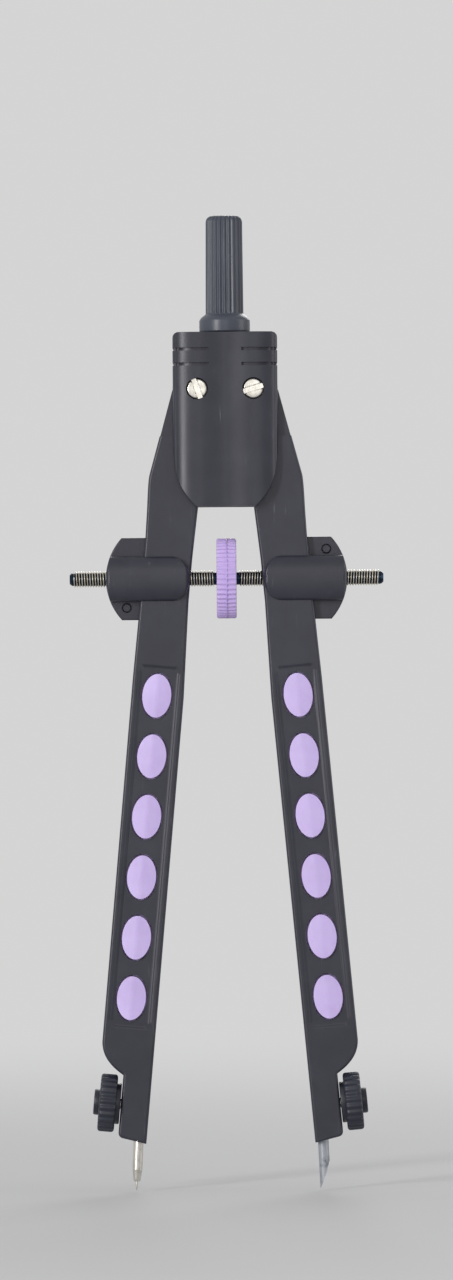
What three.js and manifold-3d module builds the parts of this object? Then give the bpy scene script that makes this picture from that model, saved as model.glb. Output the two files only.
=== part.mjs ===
// Quick-set bow compass: two geared legs in a two-shell head, held apart by a spindle with a
// right-hand and a left-hand thread, with press-to-release nut housings, a needle and a lead.
// Millimetres. +Z runs up the handle, X runs across the legs and the front faces -Y. The origin
// is on the paper, midway between the legs, at the height of the needle's tip.
import * as THREE from "three";
import { mergeVertices } from "three/addons/utils/BufferGeometryUtils.js";
import Module from "manifold-3d";

const wasm = await Module();
wasm.setup();

// ---------------------------------------------------------------- general
const RUNNING_CLEARANCE = 0.08; // radial, round a shaft that turns or slides
const FIT_GAP = 0.1; // between pieces that are seated on each other
const SEAM_GAP = 0.1; // between two half shells
const CUT_MARGIN = 1; // how far a cutting body runs past the face that it opens
const FINE = 32; // sides of a large circle
const MEDIUM = 20; // sides of a middling circle
const COARSE = 14; // sides of a small circle

// ---------------------------------------------------------------- legs
const LEG_TILT = THREE.MathUtils.degToRad(5.23); // each leg leans outwards
const LEG_THICKNESS = 6;
const PIVOT_HALF = 5.25; // half the distance between the pivots, and the gears' pitch radius
const AXIS_OFFSET = 2.72; // the leg's middle line passes this far outside its pivot
const STEP_DROP = 8.8; // pivot to the step where the tongue meets the leg, measured upright
const CHEEK_OUTER = 3.32; // middle line to the outer edge just under the step
const CHEEK_DROP = 8.9; // pivot to that point
const HIP_OUTER = 4.83; // middle line to the outer edge where the hip's round starts
const HIP_DROP = 16.8; // pivot to the hip's round
const HIP_ROUND = 0.17; // how far the round's handle stands outside the hip
const HIP_END_DROP = 22.8; // pivot to the end of the hip's round
const HIP_INNER = 4.75; // middle line to the inner edge beside the head's lower end
const HIP_INNER_DROP = 22; // pivot to that point
const GEAR_SIDE_INNER = 5.15; // middle line to the inner edge under the gear
const GEAR_SIDE_DROP = 3.4; // pivot to that point
const LEG_OUTER = 4.75; // middle line to the outer edge
const LEG_INNER = 5.05; // middle line to the inner edge, below the spindle
const WAIST_OUTER = 4.6; // the same at the spindle
const WAIST_INNER = 4.45;
const SPINDLE_DROP = 35.85; // pivot to the spindle, along the leg
const WAIST_ABOVE = 7.5; // spindle to the upper end of the waist's outer edge
const WAIST_BELOW = 6; // spindle to its lower end
const WAIST_INNER_HALF = 4; // half the length of the waist's inner edge
const CALF_OUTER_BELOW = 19; // spindle to where the outer edge is full width again
const CALF_INNER_BELOW = 22; // the same on the inner edge
const SHOULDER_BELOW_PANEL = 2.8; // the panel's lower end to the outer curve over the neck
const SHOULDER_HEIGHT = 5.9; // of that curve
const SHOULDER_HANDLES = [
  [-0.25, -3.1], // from the curve's start
  [2, 1.2], // from the curve's end
];
const NECK_OUTER = 0.3; // middle line to the neck's outer face
const NECK_BELOW_KNOB = 6.11; // the knob's axis to the neck's outer bottom corner
const NECK_CORNER = 0.5; // chamfer of that corner
const NECK_SLANT = 0.82; // the inner bottom corner is this much lower
const CHEEK_ROUND = 0.6; // the outline leaves the round end this far under the pivot

// ---------------------------------------------------------------- gear on each leg
const GEAR_TEETH = 21; // in a full circle
const GEAR_CUT_TEETH = 5; // cut on the leg
const GEAR_BACKLASH = 0.14; // taken off each tooth's thickness
const GEAR_PRESSURE = THREE.MathUtils.degToRad(20);
const GEAR_FIRST_ANGLE = 24; // degrees below straight inwards, to the first tooth
const GEAR_ROOT_SHARE = 1.2; // pitch circle to the root, in modules
const GEAR_TOOTH_SHARE = 2.2; // a tooth's height, in modules
const GEAR_FLANK_STEPS = 3;
const GEAR_DISC_GAP = 0.05; // the leg's round end is this much inside the root circle

// ---------------------------------------------------------------- oval panel and its inlay
const PANEL_BELOW_SPINDLE = 16.15;
const PANEL_END = 1.75; // panel's end to the nearest oval
const PANEL_MARGIN_OUTER = 1;
const PANEL_MARGIN_INNER = 1.35;
const PANEL_DEPTH = 0.4;
const PANEL_CORNER = 1.1;
const OVAL_COUNT = 6;
const OVAL_PITCH = 11.35;
const OVAL_WIDTH = 5.4;
const OVAL_LENGTH = 8.15;
const OVAL_GAP = 0.3; // shadow gap round each oval
const OVAL_PROUD = 0.3; // the ovals stand this far above the panel's floor
const INLAY_OVERLAP = 0.75; // the strip is this much wider than the ovals, each side
const INLAY_SIDE_GAP = 0.25; // all round the strip, in the leg
const INLAY_END = 1.4; // the inlay's strip stops this far inside the panel's ends
const INLAY_RECESS = 0.25; // its back lies this far under the leg's back
const FRONT_WALL = 1.3; // the leg's wall between the panel and the inlay's strip

// ---------------------------------------------------------------- neck, clamp and inserts
const SOCKET_BELOW_NECK = 0.95; // the neck's outer bottom corner to the socket's mouth
const SOCKET_FROM_EDGE = 1.49; // the leg's inner edge to the middle of the socket's mouth
const SOCKET_END_WALL = 1.31; // between the panel's lower end and the socket's blind end
const INSERT_TILT = THREE.MathUtils.degToRad(2.6); // of the needle and the lead, from upright
const INSERT_RADIUS = 1;
const INSERT_CLEARANCE = 0.12;
const INSERT_END_GAP = 1.2; // between the insert and the socket's blind end
const NEEDLE_REACH = 8.91; // the needle's length below the socket
const NEEDLE_BODY_END = 4; // its full width stops this far above the tip
const NEEDLE_TAPER_END = 1.75; // and its shoulder this far above the tip
const NEEDLE_SLACK = 0.06; // the needle is this much thinner than the lead, in radius
const NEEDLE_SHOULDER_RADIUS = 0.62;
const NEEDLE_WIRE_RADIUS = 0.2;
const NEEDLE_POINT = 0.7; // length of the wire's cone
const LEAD_SHORTER = 0.35; // the lead stops this far above the needle's tip
const LEAD_BEVEL = 5.05; // length of the slanted face of the lead
const KNOB_SHOULDER_GAP = 0.12; // the neck's top to the knob's rim, along the leg
const KNOB_START = 0.15; // gap between the neck and the knob
const KNOB_COLLAR_RADIUS = 3.85;
const KNOB_COLLAR_LENGTH = 0.8;
const KNOB_RADIUS = 5.43;
const KNOB_LENGTH = 3.13;
const KNOB_RIBS = 26;
const KNOB_RIB_DEPTH = 0.22;
const KNOB_HUB_RADIUS = 2.42;
const KNOB_HUB_LENGTH = 1.02;
const BOLT_RADIUS = 1;
const BOLT_END_WALL = 0.7; // the knob's closed end over the bolt
const KNOB_OVERLAP = 0.5; // the collar and the hub reach this far into the knob's wheel
const EYE_WALL = 0.45;
const EYE_HEIGHT = 2.6;
const LEAD_EDGE_SHARE = 0.9; // where the slanted face meets the lead's end, in radii

// ---------------------------------------------------------------- head
const HEAD_HALF_WIDTH = 9.8;
const HEAD_WALL = 2.65; // slot to front face
const HEAD_ABOVE_PIVOT = 10.6;
const HEAD_BELOW_PIVOT = 22;
const HEAD_RIDGE = 5; // middle to the ridge on each side of each face's shallow valley
const HEAD_VALLEY = 0.6; // depth of that valley down the middle of the face
const HEAD_VALLEY_EASE = 1.3; // how gently the valley leaves the ridge and its own middle
const HEAD_SIDE_WALL = 0.45; // slot to the edge of the side face
const HEAD_CHEEK = 0.6; // width of the small round beside the side face
const HEAD_CHEEK_LIFT = 0.2;
const HEAD_FALL = 1.8; // side face to the point that steers the front's falling curve
const HEAD_FOOT_HALF = 5.45; // half of the flat foot
const HEAD_ROUND = 0.55; // the lower end's round is steered from this far inside the side
const HEAD_ROUND_HEIGHT = 3.6;
const HEAD_TAPER = 0.35; // the sides draw in by this much
const HEAD_TAPER_START = 11.6; // above the foot
const HEAD_TAPER_END = 8;
const HEAD_TOP_CORNER = 1.1;
const SLOT_CLEARANCE = 0.15; // each side of a leg in the head's slot
const SLOT_OVER_GEAR = 0.5; // over the legs' round ends
const GROOVE_DROPS = [3.2, 6]; // from the head's top
const GROOVE_WIDTH = 0.6;
const GROOVE_DEPTH = 0.35;
const GROOVE_START = 3.05; // from the middle
const WASHER_RADIUS = 4.2;
const WASHER_THICKNESS = 0.5;
const SCREW_HEAD_RADIUS = 1.98;
const SCREW_HEAD_GAP = 0.12; // round the head, in its recess
const SCREW_HEAD_THICKNESS = 0.9;
const SCREW_WALL = 1.2; // between the head's slot and the recess floor
const SCREW_SHANK_RADIUS = 0.8;
const SCREW_SLOT_WIDTH = 1.25;
const SCREW_SLOT_DEPTH = 0.45;
const SCREW_SLOT_ANGLES = { left: 20, right: -73 }; // degrees from upright, top to the left
const SLEEVE_RADIUS = 1.5; // the leg turns on it
const SLEEVE_FLANGE = 0.7; // its head is this much wider, in radius
const SCREW_END_GAP = 1; // between the screw's tip and the sleeve's blind end

// ---------------------------------------------------------------- handle
const HANDLE_TOP_RADIUS = 3.42;
const HANDLE_BASE_RADIUS = 3.55;
const HANDLE_LENGTH = 21.9;
const HANDLE_EDGE = 1.1;
const HANDLE_EDGE_EASE = 0.33; // from each corner of the edge to the middle of its round
const HANDLE_FLUTES = 24;
const HANDLE_FLUTE_DEPTH = 0.16;
const COLLAR_RADIUS = 4.75;
const COLLAR_HEIGHT = 3.2;
const COLLAR_CHAMFER = 1;
const STUD_RADIUS = 1.5;
const STUD_IN_HANDLE = 15;
const STUD_IN_HEAD = 4.4;
const STUD_FLANGE_RADIUS = 2.4;
const STUD_FLANGE_HEIGHT = 1;
const STUD_FLANGE_DROP = 3.4; // from the head's top to the underside of the flange

// ---------------------------------------------------------------- spindle
const SPINDLE_RADIUS = 1.5;
const SPINDLE_HALF_LENGTH = 29.4;
const SPINDLE_CHAMFER = 0.4;
const WHEEL_RADIUS = 7.55;
const WHEEL_WIDTH = 3.7;
const WHEEL_RIBS = 48;
const WHEEL_RIB_DEPTH = 0.25;
const WHEEL_GROOVE_WIDTH = 0.3;

// ---------------------------------------------------------------- release housings
const LARGEST_SWING = THREE.MathUtils.degToRad(27); // of a leg, from the modelled pose
const RELEASE_TRAVEL = 1; // how far a housing is pressed in
const BLOCK_LENGTH = 4.4; // along the spindle
const BLOCK_CHEEK = 0.6; // of the block, in front of the spindle and behind it
const BLOCK_ROOF = 0.85; // of the block, over the spindle
const TUNNEL_GAP = 0.1; // each side of the block
const TRUNNION_RADIUS = 1.3;
const TRUNNION_REACH = 0.65; // into a housing's slot
const TRUNNION_END_GAP = 0.1;
const TUNNEL_LEVEL = 0.6; // extra room beside the spring at the tunnel's narrow side
const JAW_LENGTH = 2.4;
const ARM_CLEARANCE = 0.15; // between a leg and a housing's arm
const ARM_THICKNESS = 1.55;
const BARREL_HALF_HEIGHT = 4.2;
const BARREL_EDGE = 1.2;
const BARREL_INNER_END = 4.25; // trunnion to the barrel's round end
const BARREL_CORNER = 3;
const FLANGE_RADIUS = 11.4; // about the trunnion
const FLANGE_HALF_HEIGHT = 7.7;
const FLANGE_THICKNESS = 2.4;
const FLANGE_WIDTH = 7.8; // along the spindle
const FLANGE_SLOT_GAP = 0.2; // each side of the flange in the leg
const SNAP_PIN_RADIUS = 0.8;
const SNAP_PIN_INSET = 2.16; // from the flange's round edge to the pin's middle
const SNAP_PIN_EDGE = 2.3; // from the flange's flat edge to the pin's middle
const SPRING_WIRE = 0.26;
const SPRING_TURNS = 4;
const SPRING_STEPS = 10; // in a turn

// ---------------------------------------------------------------- worked out from the above
// Drops are measured from the pivot down the leg.
const panelTopDrop = SPINDLE_DROP + PANEL_BELOW_SPINDLE;
const panelLength = (OVAL_COUNT - 1) * OVAL_PITCH + OVAL_LENGTH + 2 * PANEL_END;
const panelBottomDrop = panelTopDrop + panelLength;
const firstOvalDrop = panelTopDrop + PANEL_END + OVAL_LENGTH / 2;
const shoulderDrop = panelBottomDrop + SHOULDER_BELOW_PANEL;
const neckTopDrop = shoulderDrop + SHOULDER_HEIGHT;
const knobDrop = neckTopDrop + KNOB_RADIUS + KNOB_SHOULDER_GAP;
const neckBottomDrop = knobDrop + NECK_BELOW_KNOB;
const socketDrop = neckBottomDrop + SOCKET_BELOW_NECK;
const socketOffset = LEG_INNER - SOCKET_FROM_EDGE;
const socketDepth = socketDrop - panelBottomDrop - SOCKET_END_WALL;
const insertHidden = socketDepth - INSERT_END_GAP;
const insertHole = INSERT_RADIUS + INSERT_CLEARANCE;
const insertLean = INSERT_TILT - LEG_TILT; // of an insert, seen from its leg
const pivotHeight =
  NEEDLE_REACH * Math.cos(INSERT_TILT) +
  socketDrop * Math.cos(LEG_TILT) -
  (AXIS_OFFSET - socketOffset) * Math.sin(LEG_TILT);
const inlayWidth = OVAL_WIDTH + 2 * INLAY_OVERLAP;
const headTop = pivotHeight + HEAD_ABOVE_PIVOT;
const headBottom = pivotHeight - HEAD_BELOW_PIVOT;
const slotHalf = LEG_THICKNESS / 2 + SLOT_CLEARANCE;
const washerOuterFace = slotHalf - FIT_GAP / 2; // from the middle plane
const tongueHalf = washerOuterFace - WASHER_THICKNESS - FIT_GAP; // the leg inside the head
const headFront = slotHalf + HEAD_WALL;
const headSideDepth = slotHalf + HEAD_SIDE_WALL;
const screwSeat = slotHalf + SCREW_WALL; // from the middle plane to the recess floor
const screwFace = screwSeat + SCREW_HEAD_THICKNESS;
const sleeveHeadRadius = SLEEVE_RADIUS + SLEEVE_FLANGE;
const gearModule = (2 * PIVOT_HALF) / GEAR_TEETH;
const gearRoot = PIVOT_HALF - GEAR_ROOT_SHARE * gearModule;
const legDisc = gearRoot - GEAR_DISC_GAP; // radius of the leg's round end at the pivot
const blockX =
  PIVOT_HALF + AXIS_OFFSET * Math.cos(LEG_TILT) + SPINDLE_DROP * Math.sin(LEG_TILT);
const spindleHeight =
  pivotHeight + AXIS_OFFSET * Math.sin(LEG_TILT) - SPINDLE_DROP * Math.cos(LEG_TILT);
const largestTilt = LEG_TILT + LARGEST_SWING; // of a leg from upright
const blockHalf = SPINDLE_RADIUS + BLOCK_CHEEK; // half the block's thickness
const tunnelHalf = blockHalf + TUNNEL_GAP;
const blockTop = SPINDLE_RADIUS + BLOCK_ROOF; // half its height, and the jaw's top
const flangeStart = FLANGE_RADIUS - FLANGE_WIDTH; // trunnion to the flange's inner edge
const snapPinHeight = FLANGE_HALF_HEIGHT - SNAP_PIN_EDGE;
const snapPinReach = Math.sqrt((FLANGE_RADIUS - SNAP_PIN_INSET) ** 2 - snapPinHeight ** 2);
const panelFloor = LEG_THICKNESS / 2 - PANEL_DEPTH;
const inlayFront = panelFloor - FRONT_WALL;
const springOuter = SPINDLE_RADIUS + RUNNING_CLEARANCE + SPRING_WIRE;
const noseStart =
  WAIST_OUTER / Math.cos(largestTilt) + RELEASE_TRAVEL + 2 * ARM_CLEARANCE;
const baseStart =
  (WAIST_OUTER + BARREL_HALF_HEIGHT * Math.sin(largestTilt)) / Math.cos(largestTilt) +
  RELEASE_TRAVEL +
  ARM_CLEARANCE;

// ---------------------------------------------------------------- materials
const material = (color, roughness, metalness) =>
  new THREE.MeshStandardMaterial({ color, roughness, metalness });
const BLACK = material(0x4a4b52, 0.5, 0);
const GRIP_BLACK = material(0x5b5e67, 0.55, 0);
const KNOB_BLACK = material(0x3d4049, 0.5, 0);
const LILAC = material(0xcbb6e6, 0.55, 0);
const WHEEL_LILAC = material(0xb8a2d2, 0.5, 0);
const STEEL = material(0xd5d3ce, 0.3, 1);
const DARK_STEEL = material(0x59636b, 0.35, 1);
const BRASS = material(0xb59a5a, 0.4, 1);
const NYLON = material(0xe6e4dc, 0.6, 0);
const GRAPHITE = material(0xa5a8ad, 0.45, 0.3);

// ---------------------------------------------------------------- solids
/** A closed geometry as a solid that can be joined and cut. */
function solid(geometry) {
  const bare = geometry.clone();
  bare.deleteAttribute("normal");
  bare.deleteAttribute("uv");
  const merged = mergeVertices(bare, 1e-4);
  return new wasm.Manifold(
    new wasm.Mesh({
      numProp: 3,
      vertProperties: merged.getAttribute("position").array,
      triVerts: new Uint32Array(merged.index.array),
    }),
  );
}

/** A solid turned back into a geometry. */
function geometryOf(body) {
  const mesh = body.getMesh();
  const geometry = new THREE.BufferGeometry();
  geometry.setAttribute("position", new THREE.BufferAttribute(mesh.vertProperties, 3));
  geometry.setIndex(new THREE.BufferAttribute(mesh.triVerts, 1));
  geometry.computeVertexNormals();
  return geometry;
}

/** A named piece. */
function piece(name, body, look) {
  const mesh = new THREE.Mesh(geometryOf(body), look.clone());
  mesh.name = name;
  return mesh;
}

const join = (...bodies) => bodies.reduce((sum, body) => sum.add(body));
const cut = (body, ...tools) => tools.reduce((rest, tool) => rest.subtract(tool), body);

/** A box between two corners. */
function block([x0, y0, z0], [x1, y1, z1]) {
  const box = new THREE.BoxGeometry(x1 - x0, y1 - y0, z1 - z0);
  box.translate((x0 + x1) / 2, (y0 + y1) / 2, (z0 + z1) / 2);
  return solid(box);
}

/** An outline in X and Z, extruded along Y from y0 to y1. */
function plate(shape, y0, y1, curveSegments = 10) {
  const settings = { depth: y1 - y0, bevelEnabled: false, curveSegments };
  const geometry = new THREE.ExtrudeGeometry(shape, settings);
  geometry.rotateX(Math.PI / 2);
  geometry.translate(0, y1, 0);
  return solid(geometry);
}

/** An outline in X and Y, extruded along Z from z0 to z1. */
function column(shape, z0, z1, curveSegments = 10) {
  const settings = { depth: z1 - z0, bevelEnabled: false, curveSegments };
  const geometry = new THREE.ExtrudeGeometry(shape, settings);
  geometry.translate(0, 0, z0);
  return solid(geometry);
}

/** A profile of [radius, height] points, turned about the Z axis. */
function turned(profile, sides = MEDIUM) {
  const points = profile.map(([r, z]) => new THREE.Vector2(r, z));
  const geometry = new THREE.LatheGeometry(points, sides);
  geometry.rotateX(Math.PI / 2);
  return geometry;
}

/** A cylinder about an axis through [a, b], from low to high along that axis. */
function bar(axis, [a, b], radius, low, high, sides = MEDIUM) {
  const geometry = new THREE.CylinderGeometry(radius, radius, high - low, sides);
  const middle = (low + high) / 2;
  if (axis === "x") {
    geometry.rotateZ(Math.PI / 2);
    geometry.translate(middle, a, b);
  } else if (axis === "y") {
    geometry.translate(a, middle, b);
  } else {
    geometry.rotateX(Math.PI / 2);
    geometry.translate(a, b, middle);
  }
  return solid(geometry);
}

/** A closed outline through points. */
const outline = (points) => new THREE.Shape(points.map(([x, y]) => new THREE.Vector2(x, y)));

/** A rectangle with round corners. */
function roundedRectangle(x0, y0, x1, y1, radius) {
  const shape = new THREE.Shape();
  shape.moveTo(x0 + radius, y0);
  shape.lineTo(x1 - radius, y0);
  shape.absarc(x1 - radius, y0 + radius, radius, -Math.PI / 2, 0);
  shape.lineTo(x1, y1 - radius);
  shape.absarc(x1 - radius, y1 - radius, radius, 0, Math.PI / 2);
  shape.lineTo(x0 + radius, y1);
  shape.absarc(x0 + radius, y1 - radius, radius, Math.PI / 2, Math.PI);
  shape.lineTo(x0, y0 + radius);
  shape.absarc(x0 + radius, y0 + radius, radius, Math.PI, (3 * Math.PI) / 2);
  return shape;
}

/** A ribbed circle: its radius falls by depth between the ribs. */
function ribbedCircle(radius, depth, ribs, pointsPerRib = 2) {
  const count = ribs * pointsPerRib;
  const shape = new THREE.Shape();
  for (let i = 0; i < count; i += 1) {
    const angle = (2 * Math.PI * i) / count;
    const r = radius - (depth * (1 - Math.cos(ribs * angle))) / 2;
    const [x, y] = [r * Math.cos(angle), r * Math.sin(angle)];
    if (i === 0) shape.moveTo(x, y);
    else shape.lineTo(x, y);
  }
  return shape;
}

/** Puts geometry that was turned about Z on an axis along X. */
function alongX(geometry, x = 0, z = 0) {
  geometry.rotateY(Math.PI / 2);
  geometry.translate(x, 0, z);
  return solid(geometry);
}

// ---------------------------------------------------------------- handle
/** The fluted grip with its flared collar, bored for the stud. */
function handle() {
  const base = headTop + FIT_GAP;
  const top = headTop + HANDLE_LENGTH;
  const collarTop = base + COLLAR_HEIGHT;
  const envelope = solid(
    turned(
      [
        [0, collarTop - CUT_MARGIN],
        [HANDLE_BASE_RADIUS, collarTop - CUT_MARGIN],
        [HANDLE_BASE_RADIUS, collarTop],
        [HANDLE_TOP_RADIUS, top - HANDLE_EDGE],
        [HANDLE_TOP_RADIUS - HANDLE_EDGE_EASE, top - HANDLE_EDGE_EASE],
        [HANDLE_TOP_RADIUS - HANDLE_EDGE, top],
        [0, top],
      ],
      2 * HANDLE_FLUTES,
    ),
  );
  const fluted = column(
    ribbedCircle(HANDLE_BASE_RADIUS, HANDLE_FLUTE_DEPTH, HANDLE_FLUTES),
    collarTop - CUT_MARGIN,
    top + CUT_MARGIN,
  );
  const collar = solid(
    turned(
      [
        [0, base],
        [COLLAR_RADIUS, base],
        [COLLAR_RADIUS, collarTop - COLLAR_CHAMFER],
        [HANDLE_BASE_RADIUS, collarTop],
        [0, collarTop],
      ],
      FINE,
    ),
  );
  const bore = bar(
    "z",
    [0, 0],
    STUD_RADIUS + RUNNING_CLEARANCE,
    base - CUT_MARGIN,
    headTop + STUD_IN_HANDLE + FIT_GAP,
  );
  return piece("handle", cut(join(envelope.intersect(fluted), collar), bore), GRIP_BLACK);
}

/** The steel stud that joins the handle to the head, with a flange held between the shells. */
function handleStud() {
  const flangeBottom = headTop - STUD_FLANGE_DROP;
  const flangeTop = flangeBottom + STUD_FLANGE_HEIGHT;
  const body = join(
    bar("z", [0, 0], STUD_RADIUS, headTop - STUD_IN_HEAD, headTop + STUD_IN_HANDLE),
    bar("z", [0, 0], STUD_FLANGE_RADIUS, flangeBottom, flangeTop),
  );
  return piece("handle_stud", body, STEEL);
}

// ---------------------------------------------------------------- head
/** Half of the head's section in X and Y, inset all round, with the front towards -Y. */
function headSection(inset) {
  const side = HEAD_HALF_WIDTH - inset;
  const front = headFront - inset;
  const shoulder = (headFront + headSideDepth) / 2 - inset;
  const shape = new THREE.Shape();
  shape.moveTo(-side, 0);
  shape.lineTo(-side, -headSideDepth);
  shape.quadraticCurveTo(-side, HEAD_CHEEK_LIFT - shoulder, HEAD_CHEEK - side, -shoulder);
  shape.quadraticCurveTo(HEAD_FALL - side, -front, -HEAD_RIDGE, -front);
  const [low, steer] = [HEAD_VALLEY - front, HEAD_RIDGE - HEAD_VALLEY_EASE];
  shape.bezierCurveTo(-steer, -front, -HEAD_VALLEY_EASE, low, 0, low);
  shape.bezierCurveTo(HEAD_VALLEY_EASE, low, steer, -front, HEAD_RIDGE, -front);
  shape.quadraticCurveTo(side - HEAD_FALL, -front, side - HEAD_CHEEK, -shoulder);
  shape.quadraticCurveTo(side, HEAD_CHEEK_LIFT - shoulder, side, -headSideDepth);
  shape.lineTo(side, 0);
  return shape;
}

/** The head's outline from the front: straight sides over a round lower end with a flat foot. */
function headOutline() {
  const side = HEAD_HALF_WIDTH;
  const corner = HEAD_TOP_CORNER;
  const taperStart = headBottom + HEAD_TAPER_START;
  const taperEnd = headBottom + HEAD_TAPER_END;
  const round = headBottom + HEAD_ROUND_HEIGHT;
  const shape = new THREE.Shape();
  shape.moveTo(-HEAD_FOOT_HALF, headBottom);
  shape.lineTo(HEAD_FOOT_HALF, headBottom);
  shape.quadraticCurveTo(side - HEAD_ROUND, round, side - HEAD_TAPER, taperEnd);
  shape.lineTo(side, taperStart);
  shape.lineTo(side, headTop - corner);
  shape.absarc(side - corner, headTop - corner, corner, 0, Math.PI / 2);
  shape.lineTo(corner - side, headTop);
  shape.absarc(corner - side, headTop - corner, corner, Math.PI / 2, Math.PI);
  shape.lineTo(-side, taperStart);
  shape.lineTo(HEAD_TAPER - side, taperEnd);
  shape.quadraticCurveTo(HEAD_ROUND - side, round, -HEAD_FOOT_HALF, headBottom);
  return shape;
}

/** A shell of the head before its recesses, as the front one. */
function headShellBody() {
  const low = headBottom - CUT_MARGIN;
  const high = headTop + CUT_MARGIN;
  const outer = column(headSection(0), low, high, 6);
  const inner = column(headSection(GROOVE_DEPTH), low, high, 6);
  const beyond = headFront + CUT_MARGIN;
  const face = plate(headOutline(), -beyond, -SEAM_GAP / 2, 6);
  const slotTop = pivotHeight + legDisc + SLOT_OVER_GEAR;
  const wide = HEAD_HALF_WIDTH + CUT_MARGIN;
  const slot = block([-wide, -slotHalf, low], [wide, CUT_MARGIN, slotTop]);
  const grooves = GROOVE_DROPS.flatMap((drop) =>
    [-1, 1].map((side) => {
      const z = headTop - drop;
      const xs = [side * GROOVE_START, side * wide].sort((a, b) => a - b);
      return block(
        [xs[0], -beyond, z - GROOVE_WIDTH / 2],
        [xs[1], -CUT_MARGIN, z + GROOVE_WIDTH / 2],
      ).subtract(inner);
    }),
  );
  const flangeBottom = headTop - STUD_FLANGE_DROP;
  const studPocket = join(
    bar(
      "z",
      [0, 0],
      STUD_RADIUS + FIT_GAP,
      headTop - STUD_IN_HEAD - FIT_GAP,
      headTop + CUT_MARGIN,
    ),
    bar(
      "z",
      [0, 0],
      STUD_FLANGE_RADIUS + FIT_GAP,
      flangeBottom - FIT_GAP,
      flangeBottom + STUD_FLANGE_HEIGHT + FIT_GAP,
    ),
  );
  return cut(outer.intersect(face), slot, ...grooves, studPocket);
}

/** Holes through a front shell at both pivots: a recess for a head, and a bore for the sleeve. */
function pivotHoles(recessRadius) {
  const bore = SLEEVE_RADIUS + FIT_GAP;
  return [-1, 1].flatMap((side) => {
    const at = [side * PIVOT_HALF, pivotHeight];
    return [
      bar("y", at, recessRadius, -headFront - CUT_MARGIN, -screwSeat),
      bar("y", at, bore, -headFront - CUT_MARGIN, CUT_MARGIN - slotHalf),
    ];
  });
}

/** Both shells. The rear one is the front one turned round, with wider recesses. */
function headShells() {
  const front = cut(headShellBody(), ...pivotHoles(SCREW_HEAD_RADIUS + SCREW_HEAD_GAP));
  const rear = cut(headShellBody(), ...pivotHoles(sleeveHeadRadius + FIT_GAP));
  const rearPiece = piece("head_rear_shell", rear, BLACK);
  rearPiece.rotation.z = Math.PI;
  return [piece("head_front_shell", front, BLACK), rearPiece];
}

/** One pivot: its screw, its sleeve nut and the two friction washers beside the leg. */
function pivotPieces(side) {
  const name = side < 0 ? "left" : "right";
  const centre = [0, 0];
  const pieces = new THREE.Group();
  pieces.position.set(side * PIVOT_HALF, 0, pivotHeight);
  const half = SCREW_SLOT_WIDTH / 2;
  const boreEnd = screwSeat - 2 * FIT_GAP;
  const slotFloor = SCREW_SLOT_DEPTH - screwFace;
  const beyond = headFront + CUT_MARGIN;
  const screw = piece(
    "pivot_screw_" + name,
    cut(
      join(
        bar("y", centre, SCREW_HEAD_RADIUS, -screwFace, -screwSeat),
        bar(
          "y",
          centre,
          SCREW_SHANK_RADIUS,
          -screwSeat - FIT_GAP,
          boreEnd - SCREW_END_GAP,
          COARSE,
        ),
      ),
      block([-half, -beyond, -SCREW_HEAD_RADIUS * 2], [half, slotFloor, SCREW_HEAD_RADIUS * 2]),
    ),
    STEEL,
  );
  screw.rotation.y = THREE.MathUtils.degToRad(-SCREW_SLOT_ANGLES[name]);
  const sleeveEnd = screwSeat - FIT_GAP;
  const sleeve = piece(
    "pivot_sleeve_" + name,
    cut(
      join(
        bar("y", centre, SLEEVE_RADIUS, -sleeveEnd, screwSeat + FIT_GAP, FINE),
        bar("y", centre, sleeveHeadRadius, screwSeat, screwFace),
      ),
      bar(
        "y",
        centre,
        SCREW_SHANK_RADIUS + RUNNING_CLEARANCE,
        -screwSeat - CUT_MARGIN,
        boreEnd,
        COARSE,
      ),
      block(
        [-sleeveHeadRadius * 2, screwFace - SCREW_SLOT_DEPTH, -half],
        [sleeveHeadRadius * 2, beyond, half],
      ),
    ),
    STEEL,
  );
  pieces.add(screw, sleeve);
  for (const [where, low] of [
    ["front", -washerOuterFace],
    ["rear", washerOuterFace - WASHER_THICKNESS],
  ]) {
    const ring = cut(
      bar("y", centre, WASHER_RADIUS, low, low + WASHER_THICKNESS),
      bar(
        "y",
        centre,
        SLEEVE_RADIUS + RUNNING_CLEARANCE,
        low - CUT_MARGIN,
        low + WASHER_THICKNESS + CUT_MARGIN,
      ),
    );
    pieces.add(piece("friction_washer_" + where + "_" + name, ring, NYLON));
  }
  return pieces;
}

// ---------------------------------------------------------------- legs
/** Half the angle of a gear tooth at a radius, for an involute flank. */
function toothHalfAngle(radius) {
  const base = PIVOT_HALF * Math.cos(GEAR_PRESSURE);
  const involute = (angle) => Math.tan(angle) - angle;
  const atPitch = (Math.PI * PIVOT_HALF) / GEAR_TEETH - GEAR_BACKLASH;
  const pressure = radius > base ? Math.acos(base / radius) : 0;
  return atPitch / (2 * PIVOT_HALF) + involute(GEAR_PRESSURE) - involute(pressure);
}

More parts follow.
